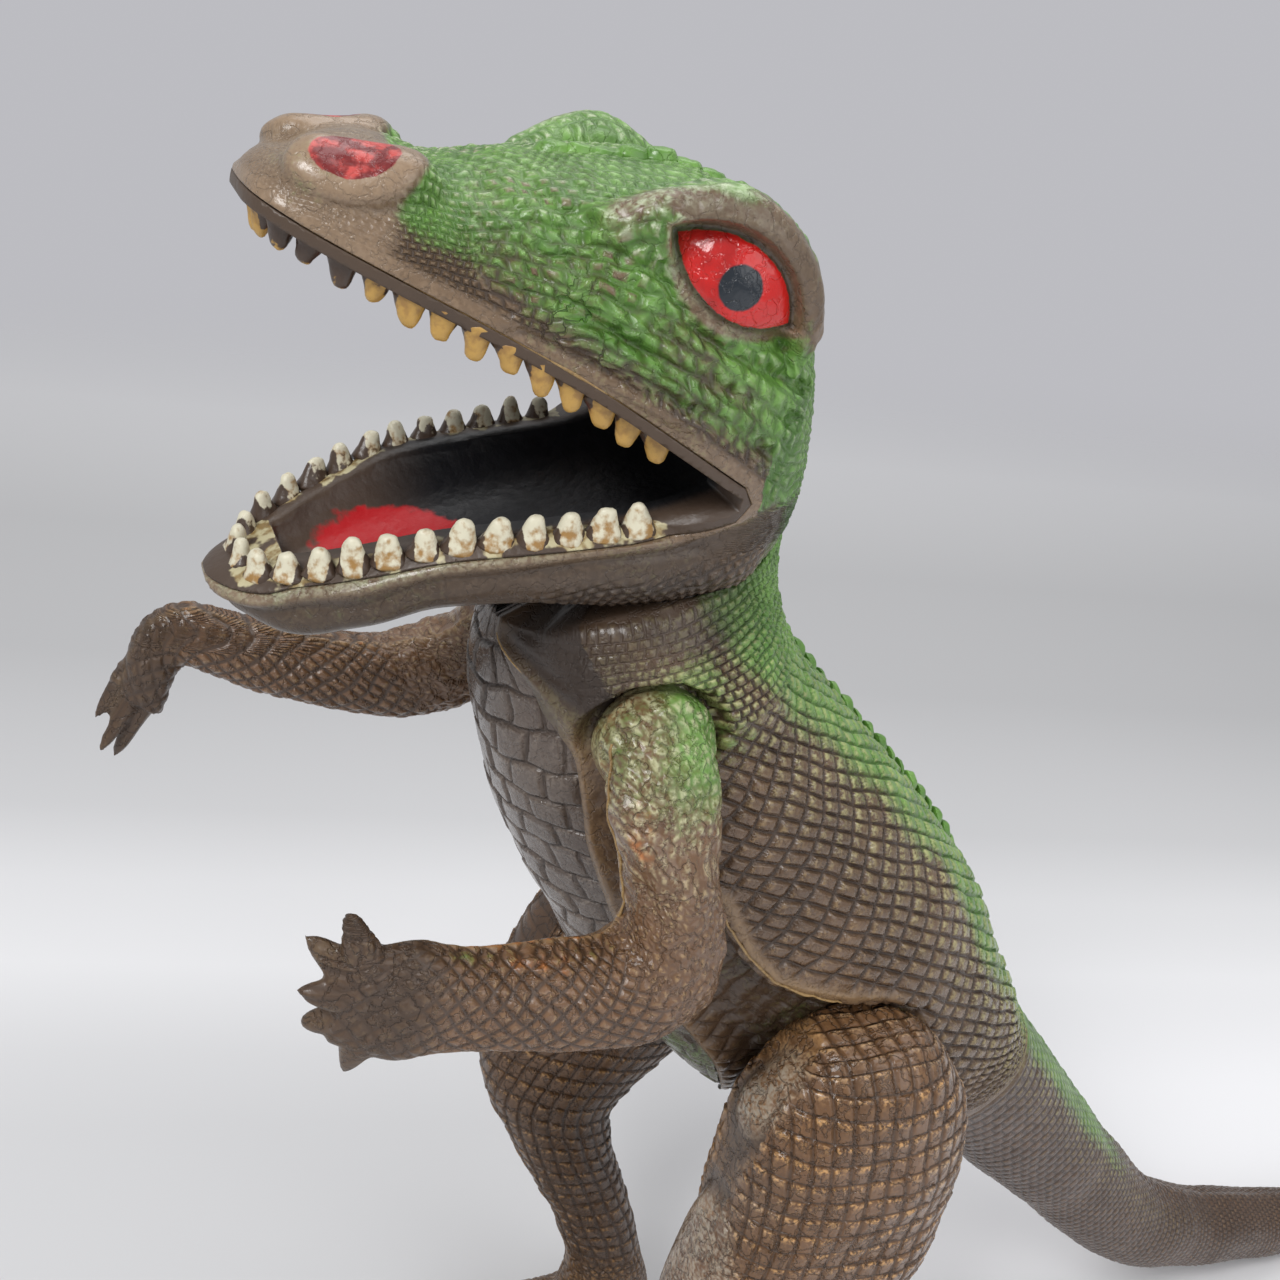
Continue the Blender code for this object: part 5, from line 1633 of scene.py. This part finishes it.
    def _model(self, obj: Piece, eye: EyePaint) -> None:
        """Model folds, lips, eye bulges and nostrils into the skin."""
        points = points_of(obj)
        places = local(points)
        outside = self._outside(points)
        depth = self._eye_depth(points, eye)
        clear = ease(-depth, 1.5, 4.0)
        amount = 0.30 * waves(points, 0.018, 31)
        lower = -side_of(places, self.jaws.lip(False))
        jaw = fall(places[:, 1], 262, 266) * ease(places[:, 0], 20, 34)
        rim = lower + 0.8 * waves(points, 0.022, 37)
        amount += jaw * (0.7 * bump(rim - 1.6, 1.2) - 2.1 * ease(rim, 2.6, 4.4))
        upper = side_of(places, self.jaws.lip(True))
        lines = np.sin(upper * 1.9 + 2.2 * waves(points, 0.022, 42))
        amount += 0.32 * lines * self._cheek(places, upper) * clear
        for fold in self.folds:
            away = near(places, fold)
            amount += (1.0 * bump(away - 2.0, 1.4) - 1.1 * bump(away, 1.1)) * clear
        amount += 0.5 * bump(near(places, self.brow_ridge), 2.6)
        ring = self._ring(places)
        amount += 0.6 * bump(ring - 1.2, 0.22) - 1.7 * fall(ring, 0.4, 1.0)
        push(obj, amount * outside)
        points = points_of(obj)
        for side in (-1, 1):
            middle, long, wide, facing = (np.array(part) for part in eye.axes(side))
            away = points - middle
            inside = eye.inside(points, side)
            dome = 0.9 * ease(inside, -1.0, 5.5) - 0.9 * bump(inside + 0.9,
                    0.9) - 0.03 * (away @ long / MM) ** 2
            share = ease(inside, -2.2, -0.4) * (away @ facing > -0.008)
            shift = (dome * MM - away @ facing) * share
            points = points + shift[:, None] * facing
        move_to(obj, points)

    def _ring(self, places: np.ndarray) -> np.ndarray:
        """Distance from the middle of a nostril, 1 on the edge of its pit."""
        return np.linalg.norm((places - np.array(self.nostril_spot)) / np.array([8.0, 5.2, 6.2]), axis=1)

    @staticmethod
    def _cheek(places: np.ndarray, upper: np.ndarray) -> np.ndarray:
        """1 on the folded cheek above the lip and 0 elsewhere."""
        high = ease(upper, 4.0, 8.0) * fall(upper, 20, 30)
        return high * ease(places[:, 0], 20, 30) * fall(places[:, 0], 66, 84)

    def _outside(self, points: np.ndarray) -> np.ndarray:
        """1 on the outer skin and 0 on the faces that the mouth's space has cut."""
        places = local(points)
        upper = side_of(places, self.jaws.lip(True))
        lower = -side_of(places, self.jaws.lip(False))
        wall = self.wall / MM
        gap = np.where(places[:, 1] > 268, upper, lower)
        return np.where(places[:, 0] > 28, ease(gap, wall + 0.2, wall + 1.4), 1.0)

    def _mark(self, obj: Piece, eye: EyePaint) -> None:
        """Store the masks that lay out scales and paint."""
        points = points_of(obj)
        places = local(points)
        forward, _, _ = places.T
        spine = Spine(self.skull, 150)
        index, angle = spine.locate(points)
        upper = side_of(places, self.jaws.lip(True))
        lower = -side_of(places, self.jaws.lip(False))
        in_jaw = fall(places[:, 1], 262, 268)
        to_lip = np.where(places[:, 1] > 268, upper, lower)
        to_lip = np.where(places[:, 0] > 26, to_lip, 20)
        depth = self._eye_depth(points, eye)
        ring = self._ring(places)
        ridge = bump(near(places, self.brow_ridge), 3.2)
        rear = fall(places[:, 0], 32, 42)
        brow = np.maximum(eye.lid(points), ridge * (0.25 + 0.75 * rear))
        tip = ease(places[:, 0] + 0.25 * (places[:, 1] - 305), 83.5, 88)
        below = ease(depth, -3.2, -1.8)
        throat = in_jaw * ease(lower, 7.0, 11) * fall(places[:, 0], 52, 66)
        smooth = np.maximum.reduce([fall(to_lip, 3.5, 5.5), below, 0.8 * np.maximum(brow, ridge),
                fall(ring, 1.2, 1.5), 0.85 * tip, in_jaw * ease(places[:, 0], 18, 34) * (1 - throat)])
        green = ease(to_lip, 4.0, 11) * (1 - in_jaw) * (1 - 0.92 * tip) * (1 - fall(ring, 1.15, 1.5))
        green *= (1 - 0.9 * brow) * (1 - 0.55 * below) * (1 - 0.35 * ridge)
        green *= 1 - 0.42 * self._cheek(places, upper) * fall(upper, 12, 22)
        green = np.maximum(green, fall(places[:, 0], 12, 26) * (1 - 0.5 * brow))
        cheek = self._cheek(places, upper)
        patchy = ease(waves(points, 0.014, 41), -0.5, 0.6)
        ridges = sum(bump(near(places, fold) - 2.0, 1.5) for fold in self.folds)
        front_rim = in_jaw * bump(lower - 1.6, 1.3) * ease(places[:, 0], 45, 70)
        above = 0.362 * (places[:, 0] - 34) + 0.932 * (places[:, 1] - 246)
        neck = fall(places[:, 1], 257, 267)
        rows = np.abs(angle) / (2 * math.pi) * self.cells * (1 - neck) + above / 1.65 * neck
        around = np.arctan2(places[:, 2], forward - 34) * 27 / 1.9
        marks = {"rows": rows, "columns": spine.cells(index, self.cells, 1.15) * (1 - neck) + around * neck,
                 "trim": 1 - smooth, "second": cheek, "spray": green, "tops": cheek * patchy * (1 - ridges.clip(0, 1)),
                 # Painted shade on the lower jaw below its rim; the lids are painted darker too.
                 "shade": in_jaw * ease(places[:, 0], 20, 34) * (0.10 + 0.55 * ease(lower, 2.6, 4.6))
                 + 0.40 * eye.lid(points),
                 # Pale paint and painted highlights, lighter toward the top of the head and on the fold ridges, the
                 # jaw's front rim and the brow ridge, with random patches of pale paint.
                 "pale": (1.1 * ease(places[:, 1], 298, 310) + 0.6 * ridges) * green + 0.9 * front_rim
                 + 0.8 * ridge * (1 - rear) + 0.5 * ease(waves(points, 0.025, 33), 0.0, 1.0) * green,
                 "bare": np.clip(0.30 * brow + 0.35 * tip + 0.45 * fall(ring, 1.15, 1.5)
                + 0.25 * fall(to_lip, 3.6, 5.0), 0, 1),
                 "nostril": fall(ring, 0.6, 1.0)}
        note(obj, **marks)


@dataclass
class Mouth:
    """The one-piece liner with its teeth, tongue and dark paint."""

    jaws: Jaws
    wall: float = 0.0020
    upper_teeth: int = 14
    lower_teeth: int = 13
    tongue: Triple = (80, 247, 4.0)

    def liner(self, head: Head, material: Finish) -> Piece:
        """The liner's skin."""
        obj = self.jaws.space(self.wall)
        obj.name = "mouth_liner_skin"
        skin = fused(head.form().build("liner_limit"), 0.0008, 4)
        cut(obj, skin, "INTERSECT")
        cut(obj, self.jaws.space(0.0), "DIFFERENCE")
        places = local(points_of(obj))
        gum = [tuple(local(np.array([place])[0][None])[0]) for place, _ in self.jaws.gum(False, 30)]
        note(obj, drip=bump(near(places, gum), 5.0) * fall(places[:, 1], 264, 268))
        set_material(obj, material)
        return obj

    def teeth(self, upper: bool, material: Finish) -> Piece:
        """One row of teeth, both sides."""
        chance = np.random.default_rng(7 if upper else 8)
        studs = Studs("upper_teeth" if upper else "lower_teeth")
        sign = -1 if upper else 1
        for number, (place, run) in enumerate(self.jaws.gum(upper,
                self.upper_teeth if upper else self.lower_teeth)):
            for side in (-1, 1):
                spot = Vector((ORIGIN.x + side * (place.x - ORIGIN.x), place.y, place.z - sign * 0.0010))
                along = Vector((side * run.x, run.y, run.z))
                out = along.cross(Vector((0, 0, 1))) * -side
                axis = Vector((-side * 0.12, 0, sign)) + along * 0.10 * chance.normal()
                tall = 0.0050 * chance.uniform(0.84, 1.10)
                dab = chance.uniform(0.70, 1.0) if upper else chance.uniform(0.55, 0.95)
                if upper and side > 0 and number < 5:
                    dab = (0.45, 0.0, 0.0, 0.0, 0.40)[number]
                if side < 0 and not upper:
                    dab = chance.uniform(0.20, 0.45)
                studs.add(spot, axis, (0.0025 * chance.uniform(0.9, 1.1), 0.0019, tall), dab, out)
        return studs.build(material)


@dataclass
class Crest:
    """Low scalloped bumps in a row along the middle of the back and the top of the head."""

    spine: Spine
    angle: float
    first: float
    last: float
    count: int
    reach: float = 0.0016

    def build(self, name: str, material: Finish) -> Piece:
        """The bumps as one piece."""
        studs = Studs(name, taper=0.15, flare=0.0)
        for number in range(self.count):
            share = self.first + (self.last - self.first) * number / (self.count - 1)
            index = np.array([share * (self.spine.count - 1)])
            top = Vector(self.spine.surface(index, np.array([self.angle]))[0])
            out = Vector(self.spine.row(index, self.spine.along)[0]) * math.cos(self.angle)
            size = self.reach + 0.0005 * math.sin(number * 1.9)
            length = self.spine.length[-1] * (self.last - self.first) / self.count
            studs.add(top - out * 0.0005, out, (length * 0.74, 0.0023, size), 1.0)
        return studs.build(material)


@dataclass
class Studio:
    """Pale floor, soft light and the camera at the photograph's view."""

    place: Triple = (0.231718, -0.139653, 0.350836)
    right: Triple = (0.35967187, 0.92031568, 0.15380247)
    up: Triple = (-0.45959271, 0.03128359, 0.88757866)
    ahead: Triple = (-0.81204106, 0.38992357, -0.4342222)
    lens: float = 42.5
    floor_radius: float = 1.7

    def camera(self) -> None:
        """Stand the camera where the photograph was taken from."""
        data = bpy.data.cameras.new("camera")
        data.lens = self.lens
        data.sensor_width = 36
        data.clip_start = 0.01
        data.clip_end = 50
        obj = linked("camera", data)
        turn = Matrix((self.right, self.up, [-part for part in self.ahead])).transposed()
        obj.matrix_world = Matrix.Translation(Vector(self.place) + ORIGIN) @ turn.to_4x4()
        bpy.context.scene.camera = obj

    def floor(self) -> None:
        """A wide round floor that fades from pale near the figure to grey far away, a pool of painted light, with more
        painted light where the figure's shadow falls.
        """
        work = bmesh.new()
        bmesh.ops.create_circle(work, cap_ends=True, segments=96, radius=self.floor_radius)
        data = bpy.data.meshes.new("floor")
        work.to_mesh(data)
        work.free()
        floor = linked("floor", data)
        material = bpy.data.materials.new("floor_with_painted_light")
        material.use_nodes = True
        graph = Graph(material.node_tree)
        spot = graph.node("ShaderNodeTexCoord", output="Object")
        away = graph.vector("LENGTH", spot)
        slope = (-0.901, 0.183, 0.0)
        depth = graph.vector("DOT_PRODUCT", spot, slope) - 0.0275
        # Painted light: the greys along the depth make a pale pool round the figure.
        light_pool_greys = ((0.0, 0.66), (0.05, 0.67), (0.08, 0.72), (0.12, 0.84), (0.165, 0.78), (0.21, 0.65),
                (0.33, 0.54),
                 (0.47, 0.55), (0.66, 0.70))
        stops = [(place, (grey, grey * 1.003, grey * 1.02)) for place, grey in light_pool_greys]
        colour = graph.node("ShaderNodeValToRGB", {"stops": stops}, {"Fac": depth}, "Color")
        # Painted light that lifts the floor on the near right side, where the legs' shadow falls.
        beside = graph.vector("DOT_PRODUCT", spot, (0.183, 0.901, 0.0))
        lift = beside.ease(-0.06, 0.04) * (1 - depth.ease(0.06, 0.15))
        colour = graph.blend(lift * 0.9, colour, (0.93, 0.93, 0.95))
        alpha = (1 - depth.ease(0.50, 0.95)) * (1 - away.ease(1.1, 1.65))
        paper = graph.node("ShaderNodeBsdfPrincipled",
                inputs={"Base Color": colour, "Roughness": 0.9, "Specular IOR Level": 0.1, "Alpha": alpha})
        graph.node("ShaderNodeOutputMaterial", inputs={"Surface": paper})
        set_material(floor, material)

    def light(self, name: str, place: Triple, size: float, power: float,
              target: Triple = (0.0, -0.08, 0.20)) -> None:
        """One square softbox that faces the figure."""
        data = bpy.data.lights.new(name, "AREA")
        data.shape = "SQUARE"
        data.size = size
        data.energy = power
        obj = linked(name, data)
        spot = Vector(place)
        obj.matrix_world = Matrix.Translation(spot) @ (spot - Vector(target)).to_track_quat("Z",
                "Y").to_matrix().to_4x4()

    def world(self) -> None:
        """Even pale light from all round."""
        world = bpy.data.worlds.new("studio")
        bpy.context.scene.world = world
        world.use_nodes = True
        graph = Graph(world.node_tree)
        light = graph.node("ShaderNodeBackground", inputs={"Color": (0.98, 0.98, 1.0, 1.0), "Strength": 0.46})
        seen = graph.node("ShaderNodeBackground", inputs={"Color": (0.505, 0.505, 0.535, 1.0),
                "Strength": 1.0})
        path = graph.node("ShaderNodeLightPath", output="Is Camera Ray")
        mixed = graph.node("ShaderNodeMixShader", inputs={0: path, 1: light, 2: seen})
        graph.node("ShaderNodeOutputWorld", inputs={"Surface": mixed})

    def build(self) -> None:
        """Make the whole studio."""
        self.camera()
        self.floor()
        self.light("key", (0.45, -0.85, 1.10), 0.40, 8.0)
        self.light("fill", (0.95, 0.35, 0.75), 0.9, 3.6)
        self.light("top", (-0.35, 0.15, 1.2), 0.9, 4.5)
        self.world()
        bpy.context.scene.view_settings.view_transform = "Standard"


@dataclass(frozen=True)
class PlugPlastic(Paint):
    """Plain dark plastic of the plugs inside the joints."""

    name: str = "plug_plastic"
    colour: Colour = (0.030, 0.024, 0.020)

    def surface(self, graph: Graph, place: Wire) -> Wire:
        """The painted surface."""
        speckle = graph.noise(place, 600)
        colour = graph.blend(speckle, self.colour, tuple(1.5 * part for part in self.colour))
        return graph.glossy(colour, speckle * 0.2 + 0.45, speckle, 0.3, 0.0002)


@dataclass(frozen=True)
class MouthPaint(Paint):
    """Brown liner, near black deep inside, with a red tongue patch."""

    name: str = "mouth_paint"
    tongue: Triple = (78, 247, 0.0)

    def surface(self, graph: Graph, place: Wire) -> Wire:
        """The painted surface."""
        speckle = graph.noise(place, 420)
        brown = graph.blend(graph.noise(place, 90), (0.105, 0.070, 0.048), (0.055, 0.036, 0.026))
        parts = graph.parted(place)
        forward = ORIGIN.y - parts[1]
        beside = (parts[0] - ORIGIN.x).size()
        deep = (1 - forward.ease(0.066, 0.086)) * (1 - beside.ease(0.0205, 0.0235))
        up = (parts[2] - ORIGIN.z).ease(0.264, 0.272)
        brown = graph.blend(up, brown, (0.085, 0.055, 0.036))
        stains = (graph.attribute("drip") * 0.5 + graph.noise(place, 210) - 0.5).ease(0.38, 0.46)
        brown = graph.blend(stains * 0.85, brown, graph.blend(speckle.ease(0.4, 0.6), (0.30, 0.20, 0.07),
                (0.62, 0.56, 0.34)))
        colour = graph.blend(deep, brown, (0.006, 0.006, 0.008))
        spot = Vector(spots([self.tongue])[0])
        away = graph.vector("SUBTRACT", place, spot)
        away = graph.vector("MULTIPLY", away, (1.0, 0.8, 1.4))
        reach = graph.vector("LENGTH", away)
        red = 1 - (reach + (speckle - 0.5) * 0.004).ease(0.0105, 0.0120)
        colour = graph.blend(red, colour, (0.50, 0.010, 0.015))
        return graph.glossy(colour, speckle * 0.2 + 0.32, speckle, 0.6, 0.0004)


LEFT_ARM: Sequence[Section] = (
    (0.41, 2.315, 0.31, 2.31, 0.30, 0.035), (0.44, 2.27, 0.28, 2.26, 0.32, 0.062),
    (0.462, 2.19, 0.265, 2.18, 0.355, 0.085), (0.455, 2.10, 0.265, 2.06, 0.395, 0.092),
    (0.435, 2.01, 0.245, 1.92, 0.44, 0.09), (0.445, 1.955, 0.27, 1.79, 0.455, 0.088),
    (0.49, 1.935, 0.385, 1.745, 0.465, 0.086), (0.57, 1.945, 0.55, 1.755, 0.475, 0.08),
    (0.67, 1.96, 0.68, 1.79, 0.485, 0.07), (0.75, 1.985, 0.78, 1.80, 0.495, 0.06),
    (0.81, 2.015, 0.845, 1.80, 0.505, 0.05), (0.875, 2.02, 0.90, 1.82, 0.505, 0.035),
    (0.925, 2.005, 0.945, 1.85, 0.505, 0.022))
RIGHT_ARM: Sequence[Section] = (
    (0.41, 2.315, 0.31, 2.31, 0.30, 0.035), (0.45, 2.27, 0.275, 2.26, 0.32, 0.062),
    (0.48, 2.21, 0.26, 2.18, 0.355, 0.085), (0.52, 2.12, 0.32, 2.02, 0.41, 0.092),
    (0.60, 2.07, 0.44, 1.92, 0.44, 0.09), (0.71, 2.055, 0.62, 1.875, 0.455, 0.085),
    (0.84, 2.075, 0.79, 1.905, 0.47, 0.078), (0.95, 2.10, 0.93, 1.945, 0.48, 0.07),
    (1.05, 2.12, 1.03, 1.985, 0.49, 0.06), (1.125, 2.09, 1.055, 1.985, 0.50, 0.05),
    (1.165, 2.01, 1.075, 1.945, 0.50, 0.055), (1.18, 1.93, 1.095, 1.88, 0.50, 0.045))
LEFT_DIGITS: Sequence[Digit] = (((0.88, 1.96), (0.93, 2.095), 0.048), ((0.89, 1.95), (0.985, 2.035), 0.046),
        ((0.90, 1.93), (1.00, 1.955), 0.042), ((0.89, 1.89), (0.98, 1.865), 0.043),
        ((0.88, 1.87), (0.915, 1.77), 0.046))
RIGHT_DIGITS: Sequence[Digit] = (((1.15, 1.97), (1.225, 1.86), 0.035), ((1.14, 1.93), (1.215, 1.80), 0.035),
        ((1.12, 1.92), (1.185, 1.77), 0.035))
LEFT_LEG: Sequence[Section] = (
    (-0.05, 1.60, -0.26, 1.60, 0.415, 0.09), (0.02, 1.545, -0.33, 1.545, 0.42, 0.135),
    (0.08, 1.445, -0.39, 1.445, 0.42, 0.165), (0.10, 1.32, -0.415, 1.32, 0.425, 0.18),
    (0.12, 1.18, -0.41, 1.17, 0.43, 0.18), (0.15, 1.05, -0.385, 1.01, 0.435, 0.175),
    (0.18, 0.92, -0.33, 0.84, 0.44, 0.16), (0.185, 0.79, -0.25, 0.68, 0.44, 0.14),
    (0.12, 0.63, -0.20, 0.55, 0.44, 0.118), (0.02, 0.48, -0.22, 0.43, 0.44, 0.105),
    (-0.04, 0.34, -0.24, 0.30, 0.44, 0.098), (-0.02, 0.21, -0.27, 0.18, 0.44, 0.105),
    (0.02, 0.11, -0.28, 0.09, 0.44, 0.11))
RIGHT_LEG: Sequence[Section] = (
    (-0.05, 1.60, -0.26, 1.60, 0.415, 0.09), (0.03, 1.545, -0.33, 1.545, 0.42, 0.135),
    (0.11, 1.455, -0.40, 1.425, 0.42, 0.165), (0.19, 1.35, -0.415, 1.26, 0.42, 0.18),
    (0.27, 1.24, -0.34, 1.09, 0.405, 0.175), (0.32, 1.12, -0.20, 0.96, 0.375, 0.16),
    (0.345, 1.00, -0.08, 0.86, 0.345, 0.14), (0.34, 0.89, 0.00, 0.79, 0.32, 0.125),
    (0.28, 0.75, 0.00, 0.70, 0.295, 0.112), (0.18, 0.57, -0.05, 0.55, 0.275, 0.10),
    (0.10, 0.40, -0.11, 0.38, 0.26, 0.095), (0.06, 0.27, -0.15, 0.25, 0.255, 0.095),
    (0.07, 0.17, -0.18, 0.16, 0.255, 0.10), (0.10, 0.10, -0.19, 0.08, 0.255, 0.105))


def main() -> None:
    """Build the figure's pieces in order, then the studio."""
    logging.basicConfig(level=logging.INFO, format="%(name)s: %(message)s")
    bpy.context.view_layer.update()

    eye = EyePaint()
    head_paint = HeadVinyl("head_vinyl", HEAD_SCALES, 0.55, patchy=0.45, wear_and_highlight=(0.340, 0.235, 0.150),
            pale=(0.58, 0.64, 0.44), base=(0.165, 0.105, 0.060), eye=eye).material()
    flank_paint = SprayedVinyl("flank_vinyl", FLANK_SCALES, 0.50, rub_and_highlight=0.40,
            base=(0.150, 0.088, 0.050)).material()
    belly_paint = SprayedVinyl("belly_vinyl", BELLY_SCUTES, 0.40, base=(0.108, 0.078, 0.062),
            wear_and_highlight=(0.20, 0.16, 0.13)).material()
    tail_paint = SprayedVinyl("tail_vinyl", TAIL_SCALES, 0.25, rub_and_highlight=0.35,
            base=(0.105, 0.052, 0.026)).material()
    arm_paint = SprayedVinyl("arm_vinyl", ARM_SCALES, 0.35, 0.22, base=(0.205, 0.108, 0.054),
            pale=(0.66, 0.62, 0.40)).material()
    leg_paint = SprayedVinyl("leg_vinyl", LEG_SCALES, 0.75, 0.30, rub_and_highlight=1.1, wear_and_highlight=(0.56, 0.31, 0.12),
            base=(0.175, 0.086, 0.036),
            pale=(0.38, 0.33, 0.26)).material()
    flash_paint = SprayedVinyl("flash_vinyl", FLANK_SCALES, base=(0.42, 0.26, 0.10),
            wear_and_highlight=(0.55, 0.38, 0.16)).material()

    torso = Torso()
    for side, word in ((1, "left"), (-1, "right")):
        skin = torso.side_skin(side, flank_paint)
        finish_piece(skin, "torso", (f"torso_{word}_shell",))
    finish_piece(torso.belly(belly_paint), "torso", ("belly_shell",))
    seams = torso.seam_paths()
    for side, word in ((0, "right"), (1, "left")):
        seams.append(snapped(bpy.data.objects[f"torso_{word}_skin"], FLANK_SEAM)[side])
    finish_piece(flash("seam_flash", seams, 0.00028, flash_paint), "torso")
    finish_piece(Crest(torso.spine, math.pi, 0.02, 0.97, 44).build("back_crest", flank_paint), "torso")
    finish_piece(Tail().build(tail_paint), "tail", ("tail_left_half", "tail_right_half"))

    for side, word, table, digits in ((1, "left", LEFT_ARM, LEFT_DIGITS),
            (-1, "right", RIGHT_ARM, RIGHT_DIGITS)):
        arm = Arm(side, table, digits).build(arm_paint)
        finish_piece(arm, f"{word}_arm", (f"{word}_arm_outer_half", f"{word}_arm_inner_half"))
        if side > 0:
            finish_piece(flash("arm_flash", snapped(arm, ARM_SEAM)[1:], 0.00026, flash_paint), "left_arm")
    for side, word, table, ankle in ((1, "left", LEFT_LEG, (-0.14, 0.44)),
            (-1, "right", RIGHT_LEG, (-0.05, 0.255))):
        leg = Leg(side, table, ankle).build(leg_paint)
        finish_piece(leg, f"{word}_leg", (f"{word}_leg_outer_half", f"{word}_leg_inner_half"))

    jaws = Jaws()
    head = Head(jaws)
    head_skin = head.build(eye, head_paint)
    finish_piece(head_skin, "head", ("head_left_shell", "head_right_shell"))
    finish_piece(flash("lip_flash", snapped(head_skin, LIP_SEAM), 0.00025, flash_paint), "head")
    top = Crest(Spine(head.skull, 150), 0.0, 0.04, 0.52, 12, 0.0014)
    finish_piece(top.build("head_crest", head_paint), "head")
    mouth = Mouth(jaws)
    finish_piece(mouth.liner(head, MouthPaint().material()), "head", ("mouth_liner",))
    upper_paint = ToothPaint("upper_tooth_paint", (0.52, 0.31, 0.08)).material()
    lower_paint = ToothPaint("lower_tooth_paint", (0.72, 0.68, 0.52)).material()
    finish_piece(mouth.teeth(True, upper_paint), "head")
    finish_piece(mouth.teeth(False, lower_paint), "head")

    plug_paint = PlugPlastic().material()
    for name, node in frame["nodes"].items():
        if name.endswith("plug"):
            for slot in node.material_slots:
                slot.material = plug_paint

    Studio().build()


if __name__ == "__main__":
    main()
